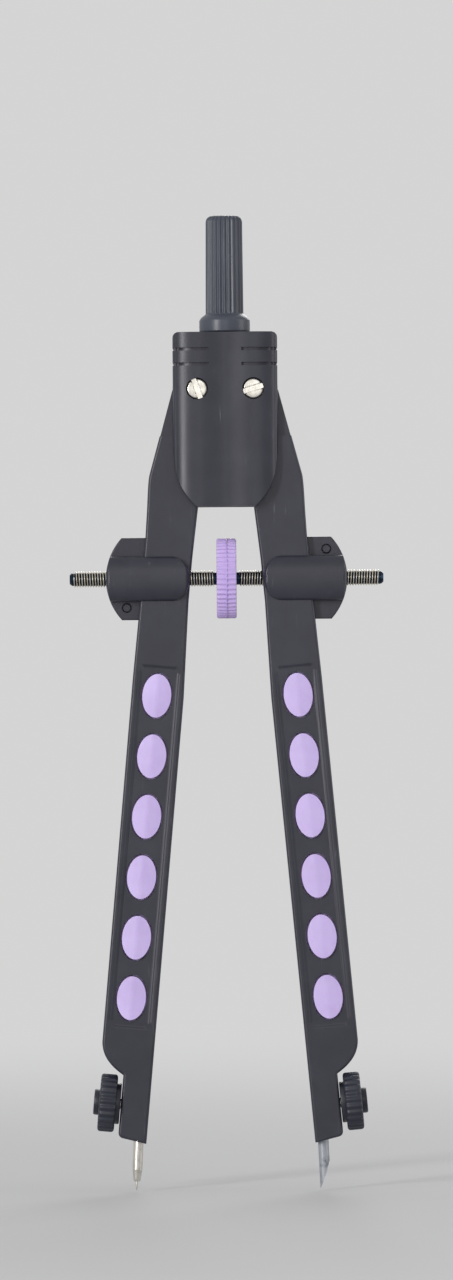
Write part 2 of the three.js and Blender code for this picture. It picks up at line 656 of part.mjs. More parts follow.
/** The gear teeth of one leg, about its pivot; phase moves them by a share of the pitch. */
function gearTeeth(phase) {
  const step = (GEAR_TOOTH_SHARE * gearModule) / GEAR_FLANK_STEPS;
  const radii = Array.from({ length: GEAR_FLANK_STEPS + 1 }, (_, i) => gearRoot + i * step);
  const inside = gearRoot - 1;
  const pitch = 360 / GEAR_TEETH;
  const teeth = [];
  for (let i = 0; i < GEAR_CUT_TEETH; i += 1) {
    const middle = THREE.MathUtils.degToRad(180 + GEAR_FIRST_ANGLE - (i + phase) * pitch);
    const flank = radii.map((r) => [r, toothHalfAngle(r)]);
    const points = [
      [inside, toothHalfAngle(gearRoot)],
      ...flank,
      ...flank.map(([r, a]) => [r, -a]).reverse(),
      [inside, -toothHalfAngle(gearRoot)],
    ];
    const shape = outline(
      points.map(([r, a]) => [r * Math.cos(middle + a), r * Math.sin(middle + a)]).reverse(),
    );
    teeth.push(plate(shape, -tongueHalf, tongueHalf));
  }
  return teeth;
}

/** The leg's outline in its own frame: X outwards from its middle line, Z up from the pivot. */
function legOutline() {
  const spindle = -SPINDLE_DROP;
  const neckBottom = -neckBottomDrop;
  const [fromShoulder, fromNeck] = SHOULDER_HANDLES;
  const shape = new THREE.Shape();
  shape.moveTo(-AXIS_OFFSET, 0);
  shape.lineTo(legDisc - AXIS_OFFSET, -CHEEK_ROUND);
  shape.lineTo(CHEEK_OUTER, -CHEEK_DROP);
  shape.lineTo(HIP_OUTER, -HIP_DROP);
  shape.quadraticCurveTo(HIP_OUTER + HIP_ROUND, -HIP_DROP - 1, LEG_OUTER, -HIP_END_DROP);
  shape.lineTo(WAIST_OUTER, spindle + WAIST_ABOVE);
  shape.lineTo(WAIST_OUTER, spindle - WAIST_BELOW);
  shape.lineTo(LEG_OUTER, spindle - CALF_OUTER_BELOW);
  shape.lineTo(LEG_OUTER, -shoulderDrop);
  shape.bezierCurveTo(
    LEG_OUTER + fromShoulder[0],
    fromShoulder[1] - shoulderDrop,
    NECK_OUTER + fromNeck[0],
    fromNeck[1] - neckTopDrop,
    NECK_OUTER,
    -neckTopDrop,
  );
  shape.lineTo(NECK_OUTER, neckBottom + NECK_CORNER);
  shape.lineTo(NECK_OUTER - NECK_CORNER, neckBottom);
  shape.lineTo(-LEG_INNER, neckBottom - NECK_SLANT);
  shape.lineTo(-LEG_INNER, spindle - CALF_INNER_BELOW);
  shape.lineTo(-WAIST_INNER, spindle - WAIST_INNER_HALF);
  shape.lineTo(-WAIST_INNER, spindle + WAIST_INNER_HALF);
  shape.lineTo(-HIP_INNER, -HIP_INNER_DROP);
  shape.lineTo(-GEAR_SIDE_INNER, -GEAR_SIDE_DROP);
  return shape;
}

/** An oval outline for the panel; grow widens it all round. */
function oval(index, grow) {
  const shape = new THREE.Shape();
  const z = -firstOvalDrop - index * OVAL_PITCH;
  shape.absellipse(0, z, OVAL_WIDTH / 2 + grow, OVAL_LENGTH / 2 + grow, 0, 2 * Math.PI);
  return shape;
}

/** The rectangle that the inlay's strip fills, grown all round. */
function stripOutline(grow) {
  const half = inlayWidth / 2 + grow;
  const low = INLAY_END - panelBottomDrop - grow;
  const high = -panelTopDrop - INLAY_END + grow;
  return roundedRectangle(-half, low, half, high, PANEL_CORNER);
}

/** What the spindle, its block and the flange need inside the leg, about the trunnion. */
function spindleCuts() {
  const flare = (u) =>
    Math.abs(u) * Math.tan(largestTilt) +
    (springOuter + RUNNING_CLEARANCE) / Math.cos(largestTilt) +
    TUNNEL_GAP;
  const level = springOuter + TUNNEL_LEVEL;
  const reach = LEG_OUTER + CUT_MARGIN;
  const middle =
    blockTop * Math.cos(largestTilt) +
    (BLOCK_LENGTH / 2) * Math.sin(largestTilt) +
    TUNNEL_GAP;
  const half = BLOCK_LENGTH / 2;
  const z = -SPINDLE_DROP;
  const tunnel = outline([
    [-reach, z + flare(reach)],
    [-reach, z - level],
    [-half, z - middle],
    [half, z - middle],
    [half, z - flare(half)],
    [reach, z - flare(reach)],
    [reach, z + level],
    [half, z + middle],
    [-half, z + middle],
    [-half, z + flare(half)],
  ]);
  const slotFloor =
    (flangeStart - RELEASE_TRAVEL) * Math.cos(largestTilt) -
    FLANGE_HALF_HEIGHT * Math.sin(largestTilt) -
    FLANGE_SLOT_GAP;
  const flangeReach = Math.sqrt(FLANGE_RADIUS ** 2 - FLANGE_HALF_HEIGHT ** 2);
  const slotBelow =
    flangeReach * Math.sin(largestTilt) +
    FLANGE_HALF_HEIGHT * Math.cos(largestTilt) +
    2 * FLANGE_SLOT_GAP;
  const slotHalfWidth = FLANGE_THICKNESS / 2 + FLANGE_SLOT_GAP;
  const trunnion = TRUNNION_RADIUS + RUNNING_CLEARANCE;
  return [
    plate(tunnel, -tunnelHalf, tunnelHalf),
    block(
      [slotFloor, -slotHalfWidth, z - slotBelow],
      [reach, slotHalfWidth, z + FLANGE_HALF_HEIGHT + 2 * FLANGE_SLOT_GAP],
    ),
    bar("y", [0, z], trunnion, -LEG_THICKNESS, LEG_THICKNESS, FINE),
  ];
}

/** What the clamp bolt and the insert need inside the neck. */
function neckCuts() {
  const z = -knobDrop;
  const eyeRadius = insertHole + EYE_WALL;
  const eyeX = insertOffsetAt(knobDrop);
  const pocketHalf = eyeRadius + 2 * FIT_GAP;
  const pocketHeight = EYE_HEIGHT / 2 + 2 * FIT_GAP;
  return [
    insertBar(insertHole, -socketDepth, 3 * CUT_MARGIN),
    block(
      [-LEG_INNER - CUT_MARGIN, -pocketHalf, z - pocketHeight],
      [eyeX + pocketHalf, pocketHalf, z + pocketHeight],
    ),
    bar("x", [0, z], BOLT_RADIUS + RUNNING_CLEARANCE, eyeX, LEG_OUTER, COARSE),
  ];
}

/** Where the insert's middle line is, across the leg, at a drop below the pivot. */
function insertOffsetAt(drop) {
  return -socketOffset - (drop - socketDrop) * Math.tan(-insertLean);
}

/** A rod on the insert's line, from low to high below the socket's mouth, in the leg's frame. */
function insertBar(radius, low, high, sides = COARSE) {
  const geometry = new THREE.CylinderGeometry(radius, radius, high - low, sides);
  geometry.rotateX(Math.PI / 2);
  geometry.translate(0, 0, -(low + high) / 2);
  geometry.rotateY(-insertLean);
  geometry.translate(-socketOffset, 0, -socketDrop);
  return solid(geometry);
}

/** One leg with its gear, oval panel, spindle tunnel and clamp neck. */
function leg(name, gearPhase) {
  const half = LEG_THICKNESS / 2;
  const blank = plate(legOutline(), -half, half, 8);
  const stepTools = [-1, 1].map((face) => {
    const thickness = half - tongueHalf + CUT_MARGIN;
    const reach = 2 * HEAD_HALF_WIDTH;
    const tool = new THREE.BoxGeometry(2 * reach, thickness, 2 * reach);
    tool.translate(0, face * (tongueHalf + thickness / 2), reach - STEP_DROP);
    tool.rotateY(LEG_TILT);
    tool.translate(-AXIS_OFFSET, 0, 0);
    return solid(tool);
  });
  const disc = bar("y", [-AXIS_OFFSET, 0], legDisc, -tongueHalf, tongueHalf, FINE);
  const teeth = gearTeeth(gearPhase).map((tooth) => {
    const geometry = geometryOf(tooth);
    geometry.rotateY(LEG_TILT);
    geometry.translate(-AXIS_OFFSET, 0, 0);
    return solid(geometry);
  });
  const panel = roundedRectangle(
    -LEG_INNER + PANEL_MARGIN_INNER,
    -panelBottomDrop,
    LEG_OUTER - PANEL_MARGIN_OUTER,
    -panelTopDrop,
    PANEL_CORNER,
  );
  const ovals = Array.from({ length: OVAL_COUNT }, (_, i) =>
    plate(oval(i, OVAL_GAP), -LEG_THICKNESS, CUT_MARGIN - inlayFront, 6),
  );
  const body = cut(
    join(cut(blank, ...stepTools), disc, ...teeth),
    plate(panel, -LEG_THICKNESS, -panelFloor, 3),
    plate(stripOutline(INLAY_SIDE_GAP), -inlayFront, LEG_THICKNESS, 3),
    ...ovals,
    bar("y", [-AXIS_OFFSET, 0], SLEEVE_RADIUS + RUNNING_CLEARANCE, -half, half, FINE),
    ...spindleCuts(),
    ...neckCuts(),
  );
  return piece("leg_" + name, body, BLACK);
}

/** The inlay: a strip in the leg's back with six ovals that show at the front. */
function gripInlay(name) {
  const back = LEG_THICKNESS / 2 - INLAY_RECESS;
  const front = inlayFront - FIT_GAP;
  const strip = plate(stripOutline(0), -front, back, 3);
  const ovals = Array.from({ length: OVAL_COUNT }, (_, i) =>
    plate(oval(i, 0), -panelFloor - OVAL_PROUD, CUT_MARGIN / 2 - front, 6),
  );
  return piece("grip_inlay_" + name, join(strip, ...ovals), LILAC);
}

// ---------------------------------------------------------------- clamp and inserts
/** The eye bolt that draws the insert against the neck. */
function clampBolt(name) {
  const z = -knobDrop;
  const eyeX = insertOffsetAt(knobDrop);
  const end = knobEnd() - BOLT_END_WALL - FIT_GAP;
  const body = cut(
    join(
      bar("z", [eyeX, 0], insertHole + EYE_WALL, z - EYE_HEIGHT / 2, z + EYE_HEIGHT / 2),
      bar("x", [0, z], BOLT_RADIUS, eyeX + insertHole, end, COARSE),
    ),
    insertBar(insertHole, -socketDepth, CUT_MARGIN),
  );
  return piece("clamp_bolt_" + name, body, STEEL);
}

/** Middle line of the leg to the knob's outer end. */
const knobEnd = () =>
  NECK_OUTER + KNOB_START + KNOB_COLLAR_LENGTH + KNOB_LENGTH + KNOB_HUB_LENGTH;

/** The ribbed clamp knob, which is the nut of the eye bolt. */
function clampKnob(name) {
  const z = -knobDrop;
  const start = NECK_OUTER + KNOB_START;
  const wheelStart = start + KNOB_COLLAR_LENGTH;
  const wheelEnd = wheelStart + KNOB_LENGTH;
  const wheel = new THREE.ExtrudeGeometry(
    ribbedCircle(KNOB_RADIUS, KNOB_RIB_DEPTH, KNOB_RIBS),
    { depth: KNOB_LENGTH, bevelEnabled: false },
  );
  const body = cut(
    join(
      bar("x", [0, z], KNOB_COLLAR_RADIUS, start, wheelStart + KNOB_OVERLAP),
      alongX(wheel, wheelStart, z),
      bar("x", [0, z], KNOB_HUB_RADIUS, wheelEnd - KNOB_OVERLAP, knobEnd()),
    ),
    bar(
      "x",
      [0, z],
      BOLT_RADIUS + RUNNING_CLEARANCE,
      start - CUT_MARGIN,
      knobEnd() - BOLT_END_WALL,
      COARSE,
    ),
  );
  return piece("clamp_knob_" + name, body, KNOB_BLACK);
}

/** A frame on the insert's line: its origin at the socket's mouth, Z up along the insert. */
function insertFrame() {
  const frame = new THREE.Group();
  frame.position.set(-socketOffset, 0, -socketDrop);
  frame.rotation.y = -insertLean;
  return frame;
}

/** The shouldered needle. */
function needle() {
  const tip = -NEEDLE_REACH;
  const radius = INSERT_RADIUS - NEEDLE_SLACK;
  const body = solid(
    turned([
      [0, tip],
      [NEEDLE_WIRE_RADIUS, tip + NEEDLE_POINT],
      [NEEDLE_WIRE_RADIUS, tip + NEEDLE_TAPER_END],
      [NEEDLE_SHOULDER_RADIUS, tip + NEEDLE_TAPER_END],
      [radius, tip + NEEDLE_BODY_END],
      [radius, insertHidden],
      [0, insertHidden],
    ]),
  );
  const frame = insertFrame();
  frame.add(piece("needle", body, STEEL));
  return frame;
}

/** The lead, sharpened to a slanted face on its outer side. */
function lead() {
  const tip = LEAD_SHORTER - NEEDLE_REACH;
  const rod = bar("z", [0, 0], INSERT_RADIUS, tip, insertHidden, COARSE);
  const slant = outline([
    [-INSERT_RADIUS, tip - CUT_MARGIN],
    [INSERT_RADIUS * 3, tip - CUT_MARGIN],
    [INSERT_RADIUS * 3, tip + LEAD_BEVEL * 2],
    [INSERT_RADIUS, tip + LEAD_BEVEL],
    [-INSERT_RADIUS * LEAD_EDGE_SHARE, tip],
  ]);
  const frame = insertFrame();
  frame.add(piece("lead", cut(rod, plate(slant, -INSERT_RADIUS * 2, INSERT_RADIUS * 2)), GRAPHITE));
  return frame;
}

// ---------------------------------------------------------------- spindle
/** The spindle, threaded right-hand on the left of the wheel and left-hand on its right. */
function spindleRod() {
  const end = SPINDLE_HALF_LENGTH;
  const tip = SPINDLE_RADIUS - SPINDLE_CHAMFER;
  const body = alongX(
    turned([
      [0, -end],
      [tip, -end],
      [SPINDLE_RADIUS, SPINDLE_CHAMFER - end],
      [SPINDLE_RADIUS, end - SPINDLE_CHAMFER],
      [tip, end],
      [0, end],
    ]),
  );
  return piece("spindle_rod", body, DARK_STEEL);
}

/** The ribbed centre wheel, with a fine groove round its middle. */
function centreWheel() {
  const ribs = new THREE.ExtrudeGeometry(
    ribbedCircle(WHEEL_RADIUS, WHEEL_RIB_DEPTH, WHEEL_RIBS),
    { depth: WHEEL_WIDTH, bevelEnabled: false },
  );
  const groove = cut(
    bar(
      "x",
      [0, 0],
      WHEEL_RADIUS + CUT_MARGIN,
      -WHEEL_GROOVE_WIDTH / 2,
      WHEEL_GROOVE_WIDTH / 2,
      FINE,
    ),
    bar("x", [0, 0], WHEEL_RADIUS - 2 * WHEEL_RIB_DEPTH, -WHEEL_WIDTH, WHEEL_WIDTH, FINE),
  );
  const bore = bar("x", [0, 0], SPINDLE_RADIUS + RUNNING_CLEARANCE, -WHEEL_WIDTH, WHEEL_WIDTH);
  const body = cut(alongX(ribs, -WHEEL_WIDTH / 2), groove, bore);
  return piece("centre_wheel", body, WHEEL_LILAC);
}

// ---------------------------------------------------------------- release housings
/** The barrel's outline from the front, about the trunnion, X outwards. */
function barrelOutline() {
  const high = BARREL_HALF_HEIGHT;
  const shape = new THREE.Shape();
  const inner = -BARREL_INNER_END + BARREL_CORNER;
  const outer = Math.sqrt(FLANGE_RADIUS ** 2 - high ** 2);
  const angle = Math.asin(high / FLANGE_RADIUS);
  shape.moveTo(inner, -high);
  shape.lineTo(outer, -high);
  shape.absarc(0, 0, FLANGE_RADIUS, -angle, angle);
  shape.lineTo(inner, high);
  shape.absarc(inner, high - BARREL_CORNER, BARREL_CORNER, Math.PI / 2, Math.PI);
  shape.lineTo(-BARREL_INNER_END, BARREL_CORNER - high);
  shape.absarc(inner, BARREL_CORNER - high, BARREL_CORNER, Math.PI, (3 * Math.PI) / 2);
  return shape;
}

/** The flange's outline: flat above and below, round at its outer end. */
function flangeOutline() {
  const high = FLANGE_HALF_HEIGHT;
  const angle = Math.asin(high / FLANGE_RADIUS);
  const shape = new THREE.Shape();
  shape.moveTo(flangeStart, -high);
  shape.absarc(0, 0, FLANGE_RADIUS, -angle, angle);
  shape.lineTo(flangeStart, high);
  return shape;
}

/** The barrel's section across its length, front half only, with eased outer edges. */
function barrelSection() {
  const high = BARREL_HALF_HEIGHT;
  const front = slotFace() + ARM_THICKNESS;
  const edge = BARREL_EDGE;
  const shape = new THREE.Shape();
  shape.moveTo(high, 0);
  shape.lineTo(high, front - edge);
  shape.absarc(high - edge, front - edge, edge, 0, Math.PI / 2);
  shape.lineTo(edge - high, front);
  shape.absarc(edge - high, front - edge, edge, Math.PI / 2, Math.PI);
  shape.lineTo(-high, 0);
  return shape;
}

/** Middle plane to the inner face of a housing's arm. */
const slotFace = () => LEG_THICKNESS / 2 + ARM_CLEARANCE;

/** The front half of a housing, about the trunnion, X outwards; the rear half is the same. */
function housingHalf() {
  const front = slotFace() + ARM_THICKNESS;
  const seam = SEAM_GAP / 2;
  const flangeHalf = FLANGE_THICKNESS / 2;
  const far = FLANGE_RADIUS + CUT_MARGIN;
  const section = new THREE.ExtrudeGeometry(barrelSection(), {
    depth: 2 * far,
    bevelEnabled: false,
    curveSegments: 5,
  });
  // The section's X is the barrel's height and its Y the depth towards the front.
  section.applyMatrix4(
    new THREE.Matrix4().makeBasis(
      new THREE.Vector3(0, 0, 1),
      new THREE.Vector3(0, -1, 0),
      new THREE.Vector3(1, 0, 0),
    ),
  );
  section.translate(-far, 0, 0);
  const barrel = plate(barrelOutline(), -front, -seam, 6).intersect(solid(section));
  const legRoom = outline([
    [-far, -far],
    [baseStart, -far],
    [baseStart, -BARREL_HALF_HEIGHT],
    [noseStart, 0],
    [baseStart, BARREL_HALF_HEIGHT],
    [baseStart, far],
    [-far, far],
  ]);
  const pinAt = (side) => [snapPinReach, side * snapPinHeight];
  const trunnionFloor = LEG_THICKNESS / 2 + TRUNNION_REACH + TRUNNION_END_GAP;
  const trunnionRadius = TRUNNION_RADIUS + RUNNING_CLEARANCE;
  const trunnionSlot = join(
    bar("y", [0, 0], trunnionRadius, -trunnionFloor, 0),
    bar("y", [RELEASE_TRAVEL, 0], trunnionRadius, -trunnionFloor, 0),
    block([0, -trunnionFloor, -trunnionRadius], [RELEASE_TRAVEL, 0, trunnionRadius]),
  );
  const shell = join(
    cut(barrel, plate(legRoom, -slotFace(), CUT_MARGIN)),
    plate(flangeOutline(), -flangeHalf, -seam),
    bar("y", pinAt(-1), SNAP_PIN_RADIUS, -flangeHalf, flangeHalf, COARSE),
  );
  const springRoom = springOuter + RUNNING_CLEARANCE;
  return cut(
    shell,
    trunnionSlot,
    bar("x", [0, 0], springRoom, 0, noseStart, FINE),
    bar("x", [0, 0], SPINDLE_RADIUS + 2 * RUNNING_CLEARANCE, 0, far),
    bar("y", pinAt(1), SNAP_PIN_RADIUS + RUNNING_CLEARANCE, -far, CUT_MARGIN, COARSE),
  );
}

/** The block that swivels in the leg and carries the jaw, about the trunnion. */
function swivelBlock() {
  const length = BLOCK_LENGTH / 2;
  const reach = LEG_THICKNESS / 2 + TRUNNION_REACH;
  const jaw = JAW_LENGTH / 2 + FIT_GAP;
  const jawHalf = SPINDLE_RADIUS + FIT_GAP;
  return cut(
    join(
      block([-length, -blockHalf, -blockTop], [length, blockHalf, blockTop]),
      bar("y", [0, 0], TRUNNION_RADIUS, -reach, reach),
    ),
    bar("x", [0, 0], SPINDLE_RADIUS + RUNNING_CLEARANCE, -BLOCK_LENGTH, BLOCK_LENGTH),
    block([-jaw, -jawHalf, FIT_GAP], [jaw, jawHalf, 2 * blockTop]),
  );
}

/** The half nut that sits on the spindle's thread. */
function threadedJaw() {
  const length = JAW_LENGTH / 2;
  const half = SPINDLE_RADIUS;
  return cut(
    block([-length, -half, 2 * FIT_GAP], [length, half, blockTop]),
    bar("x", [0, 0], SPINDLE_RADIUS + FIT_GAP / 2, -BLOCK_LENGTH, BLOCK_LENGTH),
  );
}

/** The coil that pushes a housing back out, round the spindle. */
function releaseSpring() {
  const start = BLOCK_LENGTH / 2 + SPRING_WIRE / 2 + FIT_GAP;
  const end = noseStart - SPRING_WIRE / 2 - FIT_GAP;
  const radius = SPINDLE_RADIUS + RUNNING_CLEARANCE + SPRING_WIRE / 2;
  const points = [];
  const steps = SPRING_TURNS * SPRING_STEPS;
  for (let i = 0; i <= steps; i += 1) {
    const angle = (2 * Math.PI * SPRING_TURNS * i) / steps;
    const x = start + ((end - start) * i) / steps;
    points.push(new THREE.Vector3(x, radius * Math.cos(angle), radius * Math.sin(angle)));
  }
  const wire = new THREE.Shape();
  wire.absarc(0, 0, SPRING_WIRE / 2, 0, 2 * Math.PI);
  const coil = new THREE.ExtrudeGeometry(wire, {
    steps,
    curveSegments: 4,
    bevelEnabled: false,
    extrudePath: new THREE.CatmullRomCurve3(points),
  });
  return solid(coil);
}

/** One release housing with its block, jaw and spring; the left one is the same, turned over. */
function releaseHousing(side) {
  const name = side < 0 ? "left" : "right";
  const group = new THREE.Group();
  group.position.set(side * blockX, 0, spindleHeight);
  group.rotation.y = side < 0 ? Math.PI : 0;
  const rear = piece("release_housing_rear_" + name, housingHalf(), BLACK);
  rear.rotation.x = Math.PI;
  group.add(
    piece("release_housing_front_" + name, housingHalf(), BLACK),
    rear,
    piece("swivel_block_" + name, swivelBlock(), BRASS),
    piece("threaded_jaw_" + name, threadedJaw(), STEEL),
    piece("release_spring_" + name, releaseSpring(), STEEL),
  );
  return group;
}

// ---------------------------------------------------------------- assembly
/** One leg with all that it carries; the left one is mirrored but for its gear's phase. */
function legAssembly(side) {
  const name = side < 0 ? "left" : "right";
  const pivot = new THREE.Group();
  pivot.position.set(side * PIVOT_HALF, 0, pivotHeight);
  pivot.rotation.y = -side * LEG_TILT;
  pivot.scale.x = side;
  const axis = new THREE.Group();
  axis.position.x = AXIS_OFFSET;
  axis.add(
    leg(name, side < 0 ? 0 : 0.5),
    gripInlay(name),
    clampBolt(name),
    clampKnob(name),
    side < 0 ? needle() : lead(),
  );
  pivot.add(axis);
  return pivot;
}

const compass = new THREE.Group();
const spindle = new THREE.Group();
spindle.position.z = spindleHeight;
spindle.add(spindleRod(), centreWheel());
compass.add(handle(), handleStud(), ...headShells(), spindle);
for (const side of [-1, 1]) compass.add(pivotPieces(side), legAssembly(side), releaseHousing(side));

export default compass;
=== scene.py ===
"""Looks of a quick-set bow compass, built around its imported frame.

Pieces are modelled in millimetres, in the frame of their own sub-assembly, and then placed and
brought to metres. The front of the compass faces -Y and +Z runs up its handle.
"""
import logging
import math
from collections.abc import Callable, Iterable, Sequence
from dataclasses import dataclass, field
from enum import Enum

import bmesh
import bpy
from mathutils import Matrix, Vector


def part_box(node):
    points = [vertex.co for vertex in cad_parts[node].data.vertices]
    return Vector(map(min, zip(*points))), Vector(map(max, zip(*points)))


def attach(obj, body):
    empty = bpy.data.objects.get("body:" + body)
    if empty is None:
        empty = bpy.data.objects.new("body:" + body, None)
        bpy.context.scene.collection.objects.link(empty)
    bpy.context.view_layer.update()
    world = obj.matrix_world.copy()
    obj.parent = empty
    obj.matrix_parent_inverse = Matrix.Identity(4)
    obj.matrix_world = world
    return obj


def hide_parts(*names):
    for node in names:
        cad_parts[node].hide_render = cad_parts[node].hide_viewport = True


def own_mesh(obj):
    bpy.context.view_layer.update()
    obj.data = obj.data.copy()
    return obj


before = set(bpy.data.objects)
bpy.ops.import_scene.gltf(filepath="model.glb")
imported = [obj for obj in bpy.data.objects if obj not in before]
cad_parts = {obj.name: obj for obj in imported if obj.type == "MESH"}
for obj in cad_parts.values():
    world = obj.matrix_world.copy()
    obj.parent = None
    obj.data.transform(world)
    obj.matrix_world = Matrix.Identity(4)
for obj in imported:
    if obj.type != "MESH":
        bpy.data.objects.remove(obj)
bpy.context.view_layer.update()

LOG = logging.getLogger("compass")
MM = 0.001
Point = tuple[float, float, float]
Flat = tuple[float, float]
Look = bpy.types.Material
Piece = bpy.types.Object


# ---------------------------------------------------------------- choices
class Slot(Enum):
    """The record's material slots."""

    BLACK_BODY = "black_body"
    HANDLE_PLASTIC = "handle_plastic"
    KNOB_PLASTIC = "knob_plastic"
    LILAC_INLAY = "lilac_inlay"
    LILAC_WHEEL = "lilac_wheel"
    BRIGHT_STEEL = "bright_steel"
    SPINDLE_STEEL = "spindle_steel"
    BRASS = "brass"
    NYLON = "nylon"
    GRAPHITE = "graphite"


class Side(Enum):
    """Which leg a piece belongs to; the value is the sign of X on that side."""

    LEFT = -1
    RIGHT = 1

    @property
    def tag(self) -> str:
        """The side's word in names."""
        return self.name.lower()


class Cut(Enum):
    """What a Boolean modifier does with its tool."""

    AWAY = "DIFFERENCE"
    JOIN = "UNION"
    COMMON = "INTERSECT"


class Kind(Enum):
    """A kind of mesh element, with the name of its group in a bmesh."""

    VERT = "verts"
    EDGE = "edges"
    FACE = "faces"


# ---------------------------------------------------------------- modelling
def clear_selection() -> None:
    """Deselects every object, because an operator acts on all that is selected."""
    bpy.ops.object.select_all(action="DESELECT")


def activate(piece: Piece) -> None:
    """Makes one object the only selected and active one.

    Args:
        piece: the object that the next operators work on.
    """
    clear_selection()
    piece.select_set(True)
    bpy.context.view_layer.objects.active = piece


class Bench:
    """Edit mode on one object: elements are selected in code, then shaped by operators."""

    def __init__(self, piece: Piece) -> None:
        """Keeps the object that is worked on."""
        self.piece = piece

    def __enter__(self) -> "Bench":
        """Opens edit mode with nothing selected."""
        activate(self.piece)
        bpy.ops.object.mode_set(mode="EDIT")
        bpy.ops.mesh.select_all(action="DESELECT")
        return self

    def __exit__(self, *_: object) -> None:
        """Goes back to object mode."""
        bpy.ops.object.mode_set(mode="OBJECT")

    def pick(self, kind: Kind, test: Callable[[Vector], bool]) -> "Bench":
        """Selects the elements whose corners all pass a test.

        Args:
            kind: vertices, edges or faces.
            test: says whether a corner's place belongs to the selection.

        Returns:
            The bench, so that an operator can follow.
        """
        bpy.ops.mesh.select_mode(type=kind.name)
        bpy.ops.mesh.select_all(action="DESELECT")
        mesh = bmesh.from_edit_mesh(self.piece.data)
        for element in getattr(mesh, kind.value):
            corners = [element] if kind is Kind.VERT else element.verts
            element.select_set(all(test(corner.co) for corner in corners))
        mesh.select_flush_mode()
        bmesh.update_edit_mesh(self.piece.data)
        return self

    def pick_sharp(self, degrees: float) -> "Bench":
        """Selects the edges where faces meet at more than an angle.

        Args:
            degrees: the smallest angle between the two faces.

        Returns:
            The bench, so that an operator can follow.
        """
        bpy.ops.mesh.select_mode(type="EDGE")
        bpy.ops.mesh.select_all(action="DESELECT")
        mesh = bmesh.from_edit_mesh(self.piece.data)
        for edge in mesh.edges:
            edge.select_set(edge.calc_face_angle(0.0) > math.radians(degrees))
        mesh.select_flush_mode()
        bmesh.update_edit_mesh(self.piece.data)
        return self

    def tidy(self) -> None:
        """Merges doubles and turns every face outwards."""
        bpy.ops.mesh.select_all(action="SELECT")
        bpy.ops.mesh.remove_doubles(threshold=1e-4)
        bpy.ops.mesh.normals_make_consistent(inside=False)


def sketch(name: str, points: Sequence[Point], closed: bool = True) -> Piece:
    """Draws a line of corners by extruding one corner on to the next.

    Args:
        name: the object's name.
        points: the corners in order.
        closed: fills the outline with one face.

    Returns:
        The new object.
    """
    clear_selection()
    bpy.ops.mesh.primitive_plane_add(size=1, enter_editmode=True)
    bpy.ops.mesh.select_mode(type="VERT")
    bpy.ops.mesh.select_all(action="SELECT")
    bpy.ops.mesh.merge(type="CENTER")
    bpy.ops.transform.translate(value=points[0])
    for here, there in zip(points, points[1:]):
        step = tuple(b - a for a, b in zip(here, there))
        bpy.ops.mesh.extrude_region_move(TRANSFORM_OT_translate={"value": step})
    if closed:
        bpy.ops.mesh.select_all(action="SELECT")
        bpy.ops.mesh.edge_face_add()
    bpy.ops.object.mode_set(mode="OBJECT")
    piece = bpy.context.object
    piece.name = name
    return piece


def plate(name: str, outline: Sequence[Flat], front: float, back: float) -> Piece:
    """An outline in X and Z, as thick as from front to back along Y.

    Args:
        name: the object's name.
        outline: the corners as (x, z).
        front: the lower Y.
        back: the higher Y.

    Returns:
        The closed plate.
    """
    return beam(name, [(x, front, z) for x, z in outline], (0, back - front, 0))


def cushion(
    name: str, outline: Sequence[Flat], front: float, back: float, radius: float, both: bool = True
) -> Piece:
    """A plate whose front edge, and maybe its back edge, is rounded all round.

    Args:
        name: the object's name.
        outline: the corners as (x, z).
        front: the lower Y.
        back: the higher Y.
        radius: of the rounded edges.
        both: rounds the back edge too.

    Returns:
        The closed plate.
    """
    levels = [front + radius] + ([back - radius] if both else [])
    piece = plate(name, outline, levels[0], levels[1] if both else back)
    turns = [math.radians(angle) for angle in range(0, 91, 18)]
    for level in levels:
        with Bench(piece) as bench:
            bench.pick(Kind.FACE, lambda corner, level=level: abs(corner.y - level) < 1e-3)
            for low, high in zip(turns, turns[1:]):
                bpy.ops.mesh.inset(
                    thickness=radius * (math.cos(low) - math.cos(high)),
                    depth=radius * (math.sin(high) - math.sin(low)),
                )
            bench.tidy()
    return piece


def tapered(
    name: str, outline: Sequence[Flat], front: float, back: float, inset: float
) -> Piece:
    """A plate whose walls slope inwards from front to back.

    Args:
        name: the object's name.
        outline: the front's corners as (x, z).
        front: the lower Y.
        back: the higher Y.
        inset: how much smaller the back is, all round.

    Returns:
        The closed plate.
    """
    piece = plate(name, outline, front, back)
    spans = [(min(line), max(line)) for line in zip(*outline)]
    (x, wide), (z, high) = (((a + b) / 2, b - a) for a, b in spans)
    with Bench(piece) as bench:
        bench.pick(Kind.VERT, lambda corner: corner.y > (front + back) / 2)
        bpy.ops.transform.resize(
            value=(1 - 2 * inset / wide, 1, 1 - 2 * inset / high), center_override=(x, back, z)
        )
    return piece


def beam(name: str, section: Sequence[Point], reach: Point) -> Piece:
    """A flat section extruded along a straight line.

    Args:
        name: the object's name.
        section: the corners of the section.
        reach: how far and which way it is extruded.

    Returns:
        The closed beam.
    """
    piece = sketch(name, section)
    with Bench(piece) as bench:
        bpy.ops.mesh.select_all(action="SELECT")
        bpy.ops.mesh.extrude_region_move(TRANSFORM_OT_translate={"value": reach})
        bench.tidy()
    return piece


def turned(name: str, profile: Sequence[Flat], steps: int = 64) -> Piece:
    """A profile spun about the Z axis.

    Args:
        name: the object's name.
        profile: (radius, height) corners, from the axis back to the axis.
        steps: how many faces go round.

    Returns:
        The closed turning.
    """
    piece = sketch(name, [(r, 0.0, z) for r, z in profile], closed=False)
    with Bench(piece) as bench:
        bpy.ops.mesh.select_all(action="SELECT")
        bpy.ops.mesh.spin(steps=steps, angle=math.tau, center=(0, 0, 0), axis=(0, 0, 1))
        bench.tidy()
    return piece


